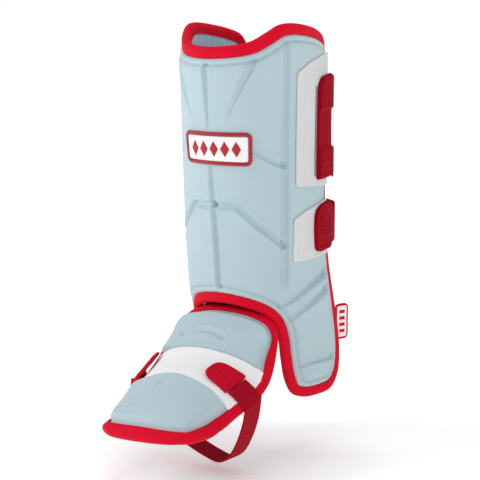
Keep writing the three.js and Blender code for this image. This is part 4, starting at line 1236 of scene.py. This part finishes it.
# Columns: sideways and drop as shares of the half width and the edge's height, ahead of the length
STIRRUP_LOOP = [
    (0.97, -0.012, 0.28), (0.83, -0.03, 0.62), (0.64, -0.05, 0.9), (0.46, -0.055, 1),
    (0.2, -0.045, 0.93), (-0.25, -0.02, 0.7), (-0.72, 0, 0.42), (-1.02, 0, 0.15),
]


def strap_on_foot(tab):
    """The stretch of the strap from one tab to the edge of the foot part."""
    side, _, to, level, _, _, stay, bow = tab
    seam = 0.5 / foot.half_width(np.array(level))
    shares = side * np.linspace(to + seam, STIRRUP_LEAVES, 30)
    return on_surface(foot, shares, level, FOOT_TAB_IN + stay + bow, WEBBING_WALL)


near = strap_on_foot(NEAR_TAB)
far = [part[::-1] for part in strap_on_foot(FAR_TAB)]
start, end = near[0][-1] + ORIGIN, far[0][0] + ORIGIN
drop = start[2] - WEBBING_WALL / 2
loop = [
    (s * FOOT_HALF_WIDTH, start[1] - a * FOOT_LENGTH, start[2] - d * drop) for s, a, d in STIRRUP_LOOP
]
free = spaced(spline([start, *loop, end], closed=False), 2.0)[1:-1] - ORIGIN
tangent = unit(np.gradient(free, axis=0))
outward = unit(np.cross((0, 1, 0), tangent))
widthwise = unit(np.cross(tangent, outward))
widthwise *= np.sign((widthwise * near[1][-1]).sum(-1, keepdims=True))
outward *= np.sign((outward[:1] * near[2][-1]).sum())
stirrup_parts = [np.concatenate(group) for group in zip(near, (free, widthwise, outward), far)]
stirrup = ribbon("stirrup_webbing", *stirrup_parts, WEBBING_WIDTH, WEBBING_WALL, webbing, "strap")
stand_for(stirrup, "stirrup_strap")


# %% Tabs of the strap under the foot
def quilted(across, along, depth):
    """A sewn box inside a smooth border, filled with soft diamonds."""
    box = ease((depth - 2.2) / 0.8)
    groove = np.exp(-(((depth - 3.4) / 0.7) ** 2))
    diamonds = np.cos(across * 75 + along * 140) * np.cos(across * 75 - along * 140)
    return 0.5 * box + 0.45 * diamonds * box - 0.9 * groove


for tab, name, solid in (
    (NEAR_TAB, "stirrup_tab_cloth_near", "stirrup_tab_near"),
    (FAR_TAB, "stirrup_tab_cloth_far", "stirrup_tab_far"),
):
    side, tab_from, tab_to, level, width, rise, stay, bow = tab
    half, sewn = width / 2 / foot.length, FOOT_TAB_WIDTH / 2 / foot.length
    corners = [
        (side * tab_to, level - sewn, 1),
        (side * tab_to, level + sewn, 1),
        (side * tab_from, level + half, 13),
        (side * tab_from, level - half, 13),
    ]

    def standing(across, along):
        share = (tab_to - np.abs(across)) / (tab_to - tab_from)
        return stay + rise * share**2 + bow * (2 * share - 1) ** 2

    line = rounded_line(foot, corners, 6, pitch=0.8)
    tab_piece = soft_cloth(
        name, foot, line, FOOT_TAB_IN, FOOT_TAB_WALL, foot_tab_cloth,
        cell=0.9, swell=quilted, lift=standing,
    )
    stand_for(tab_piece, solid)

# %% [markdown]
# ## Ankle hinge
#
# A doubled strip of tape cloth joins the foot part to the shin part inside the front of
# the ankle. It shows as a red fold behind the gap between the two tapes.

# %% Hinge
HINGE_WALL, HINGE_STANDOFF, HINGE_STEPS, HINGE_COUNT = 2.0, 7.0, 61, 24
HINGE_ON_SHIN, HINGE_ON_FOOT = 0.4, 0.7  # half widths, as shares of across
LINER_IN, FOOT_TAPE_IN = -11.9, -8.4


def hinge_face(share, sunk, fold):
    """One upright line of the hinge, from the shin part down to the foot part."""
    a, b = share * HINGE_ON_SHIN, share * HINGE_ON_FOOT
    on_shell, on_foot = LINER_IN - CLEAR - sunk, FOOT_TAPE_IN - CLEAR - sunk
    corners = [
        shin.place(a, 0.34, on_shell),
        shin.place(a, 0.285, on_shell),
        shin.place(a, fold, on_shell - HINGE_STANDOFF),
        foot.place(b, 0.0, on_foot),
        foot.place(b, 0.1, on_foot),
    ]
    return spaced(spline(corners, closed=False, fine=8), 2.5)


def evened(line, count):
    """A chain read off again at a fixed number of even distances."""
    run = chain_run(line)
    return read_off(line, run / run[-1], np.linspace(0, 1, count))


shares_across = np.linspace(-1, 1, HINGE_STEPS)
rings = []
for share in shares_across:
    front = evened(hinge_face(np.array(share), 0, 0.262), HINGE_COUNT)
    behind = evened(hinge_face(np.array(share), HINGE_WALL, 0.255), HINGE_COUNT)
    rings.append(np.concatenate([front, behind[::-1]]))
rings = np.array(rings)
down = np.linspace(0, 70, HINGE_COUNT)
uv = strip_pattern(shares_across * 50, np.concatenate([down, down[::-1]]))
hinge = swept("ankle_hinge_cloth", rings, uv, False, tab_cloth)
stand_for(hinge, "ankle_hinge")

# %% [markdown]
# ## Side tag
#
# A folded label is caught in the seam at the rear of the near flap. It stays free of
# lettering and has only a white field with four plain bars inside a red frame.

# %% Tag
TAG_LENGTH, TAG_HEIGHT, TAG_WALL, TAG_TURN, TAG_RADIUS = 17.0, 37.0, 1.6, math.radians(72), 5.0
seam_point = shin.place(np.array([1.197]), np.array([0.183]), (LINER_IN - 3.5) / 2)[0]
run_out = np.array([math.cos(TAG_TURN), math.sin(TAG_TURN), 0])
facing = np.cross(run_out, (0, 0, 1))


def tag_plate(name, centre, size, height, wall, radius, look):
    """A small plate in the tag's plane: a cube with rounded corners and softened rims."""
    bpy.ops.mesh.primitive_cube_add(size=1, location=(0, 0, 0))
    plate = bpy.context.object
    plate.name = name
    plate.scale = [side * MM for side in (*size, wall)]
    bpy.ops.object.transform_apply(location=False, rotation=False, scale=True)
    bpy.ops.object.mode_set(mode="EDIT")
    bpy.ops.mesh.select_mode(type="EDGE")
    bpy.ops.mesh.select_all(action="DESELECT")
    bpy.ops.object.mode_set(mode="OBJECT")
    for edge in plate.data.edges:
        a, b = (plate.data.vertices[i].co for i in edge.vertices)
        edge.select = abs(a.z - b.z) > 0.5 * wall * MM
    bpy.ops.object.mode_set(mode="EDIT")
    bpy.ops.mesh.bevel(offset=radius * MM, segments=6)
    bpy.ops.object.mode_set(mode="OBJECT")
    rounding = plate.modifiers.new("rounding", "BEVEL")
    rounding.width, rounding.segments = wall * 0.3 * MM, 2
    rounding.limit_method, rounding.angle_limit = "ANGLE", math.radians(60)
    bpy.ops.object.modifier_apply(modifier=rounding.name)
    local = np.array([v.co for v in plate.data.vertices]) / MM + (*centre, height)
    placed = (seam_point + local @ np.stack([run_out, (0, 0, 1), facing])) * MM
    plate.data.vertices.foreach_set("co", placed.astype(np.float32).ravel())
    layer = plate.data.uv_layers.active or plate.data.uv_layers.new()
    layer.name = "pattern"
    loops = np.zeros(len(plate.data.loops), int)
    plate.data.loops.foreach_get("vertex_index", loops)
    layer.data.foreach_set("uv", (local[loops][:, :2] / 10).astype(np.float32).ravel())
    plate.data.materials.append(look)
    bpy.ops.object.shade_smooth_by_angle(angle=math.radians(50))
    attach(plate, "root")
    return plate


tag_middle = (CLEAR + TAG_LENGTH / 2, 0)
tag_size = (TAG_LENGTH, TAG_HEIGHT)
tag = tag_plate("side_tag_cloth", tag_middle, tag_size, 0, TAG_WALL, TAG_RADIUS, tape)
stand_for(tag, "side_tag")
TAG_BARS, BAR_SIZE, BAR_TOP, BAR_PITCH = 4, (7.0, 3.4), 10.0, 6.6
field_place, field_size = (tag_middle[0] - 0.2, 0), (12.5, 32.0)
tag_plate("side_tag_field", field_place, field_size, TAG_WALL / 2, 0.5, 2.0, band_cloth)
for number in range(TAG_BARS):
    place = (tag_middle[0], BAR_TOP - number * BAR_PITCH)
    tag_plate(f"side_tag_bar_{number}", place, BAR_SIZE, TAG_WALL / 2 + 0.28, 0.3, 0.4, tape)
print("tag field with", TAG_BARS, "plain bars")

# %% [markdown]
# ## Stitches
#
# Rows of stitches hold the tape and the tabs. Each stitch is one small spindle of thread
# that lies just proud of the cloth, and all rows of one kind are a single mesh. A bump
# could not give a row its broken highlight or its shadow.


# %% Rows of stitches
def stitches(name, rows, pitch, length, thick, look):
    """Spindles of thread along rows of points on a surface. Each row has places and normals."""
    points, faces = [], []
    corners = np.array([(1, 1), (1, -1), (-1, -1), (-1, 1)])
    for places, normals in rows:
        run = chain_run(places)
        at = np.arange(pitch / 2, run[-1], pitch)
        middle = read_off(places, run, at)
        ahead = read_off(places, run, at + 0.3) - middle
        outward = unit(read_off(normals, run, at))
        ahead = unit(np.where(np.linalg.norm(ahead, axis=1, keepdims=True) > 1e-6, ahead, (0, 0, 1)))
        beside = unit(np.cross(outward, ahead))
        for m, f, n, s in zip(middle, ahead, outward, beside):
            first = len(points)
            points += [m - f * length / 2 - n * thick * 0.6, m + f * length / 2 - n * thick * 0.6]
            for end in (-0.25, 0.25):
                points += [m + f * end * length + (n * u + s * v) * thick / 2 for u, v in corners]
            for k in range(4):
                j = (k + 1) % 4
                faces.append((first, first + 2 + k, first + 2 + j))
                faces.append((first + 2 + k, first + 6 + k, first + 6 + j, first + 2 + j))
                faces.append((first + 1, first + 6 + j, first + 6 + k))
    uv = np.zeros((len(points), 2))
    piece = mesh_piece(name, points, faces, uv, look)
    print(name, len(faces) // 12, "stitches")
    return piece


def row_on(surface, flat, out):
    """Places and normals of a row, from flat millimetres and a height."""
    places = surface.lift(flat, out)
    return places, unit(surface.lift(flat, out + 1) - places)


ROW_SHARE = 0.86  # how far across the tape its row of stitches runs
shin_row = inset(shin_line, TAPE_WIDTH * ROW_SHARE, smooth=6)
foot_reach = foot_tape_width(foot.shares(foot_line)[:, 1])[:, None] * ROW_SHARE
foot_row = inset(foot_line, foot_reach, smooth=6)
for name, surface, row, out in (
    ("tape_stitches_shin", shin, shin_row, -3.2),
    ("tape_stitches_foot", foot, foot_row, -0.3),
):
    stitches(name, [row_on(surface, looped(row), out)], 3.4, 2.6, 0.55, thread)

tab_rows = []
for corners, swell in ((UPPER_TAB, over_elastics), (LOWER_TAB, at_front)):
    line = rounded_line(shin, corners, 6)
    for reach in (2.4, 8.5, 14.5):
        row = inset(line, reach)
        row = row[shin.shares(row)[:, 0] < 1.03]
        shares = shin.shares(row)
        height = TAB_OUT + swell(shares[:, 0], shares[:, 1], np.full(len(row), reach))
        tab_rows.append(row_on(shin, row, height))
stitches("tab_stitches", tab_rows, 3.0, 2.3, 0.5, thread)

# %% Hook strip past the upper tab's front edge, its grey partly a painted shade along that edge
STRIP_WIDTH, STRIP_SHOWN, STRIP_WALL = 5.0, 1.6, 0.4
strip_levels = np.linspace(0.6, 0.835, 60)
front_edge = np.interp(strip_levels, [p[1] for p in UPPER_TAB[:2]], [p[0] for p in UPPER_TAB[:2]])
strip_flat = shin.flat(np.stack([front_edge - STRIP_SHOWN / 2 / 155, strip_levels], 1))
strip_places, strip_normals = row_on(shin, strip_flat, CLEAR + PATCH_WALL + STRIP_WALL)
strip_run = unit(np.gradient(strip_places, axis=0))
strip_side = unit(np.cross(strip_normals, strip_run))
ribbon("hook_strip_and_edge_shade", strip_places, strip_side, strip_normals, STRIP_WIDTH, STRIP_WALL, hook_pile_and_edge_shade, "strap")
print("hook strip", round(chain_run(strip_places)[-1], 1), "mm long")

# %% Plain diamonds on the badge
DIAMONDS, DIAMOND_PITCH, DIAMOND_SIZE = 5, 11.2, (9.0, 15.0)
# Columns: size of a ring as a share, height over the field
DIAMOND_RINGS = [(1, 0.0), (1, 0.45), (0.75, 0.7)]
corners = [(1, 0), (0.5, 0.5), (0, 1), (-0.5, 0.5), (-1, 0), (-0.5, -0.5), (0, -1), (0.5, -0.5)]
corners = np.array(corners) * DIAMOND_SIZE / 2
row_middle = shin.flat([[0.04, 0.682]])[0]
points, faces = [], []
for number in range(DIAMONDS):
    middle = row_middle + ((number - (DIAMONDS - 1) / 2) * DIAMOND_PITCH, 0)
    first = len(points)
    for size, height in DIAMOND_RINGS:
        points += list(shin.lift(middle + corners * size, CLEAR + BADGE_WALL - 0.1 + height))
    rings = [[first + 8 * level + k for k in range(8)] for level in range(len(DIAMOND_RINGS))]
    for low, high in zip(rings, rings[1:]):
        faces += [(low[k], low[(k + 1) % 8], high[(k + 1) % 8], high[k]) for k in range(8)]
    faces += [rings[-1], rings[0][::-1]]
diamonds = mesh_piece("badge_diamonds", points, faces, np.array(points)[:, :2], satin)
print(diamonds.name, DIAMONDS)

# %% [markdown]
# ## Last look
#
# Every solid is now stood for by a dressed piece.

# %% Finish
bpy.context.view_layer.update()
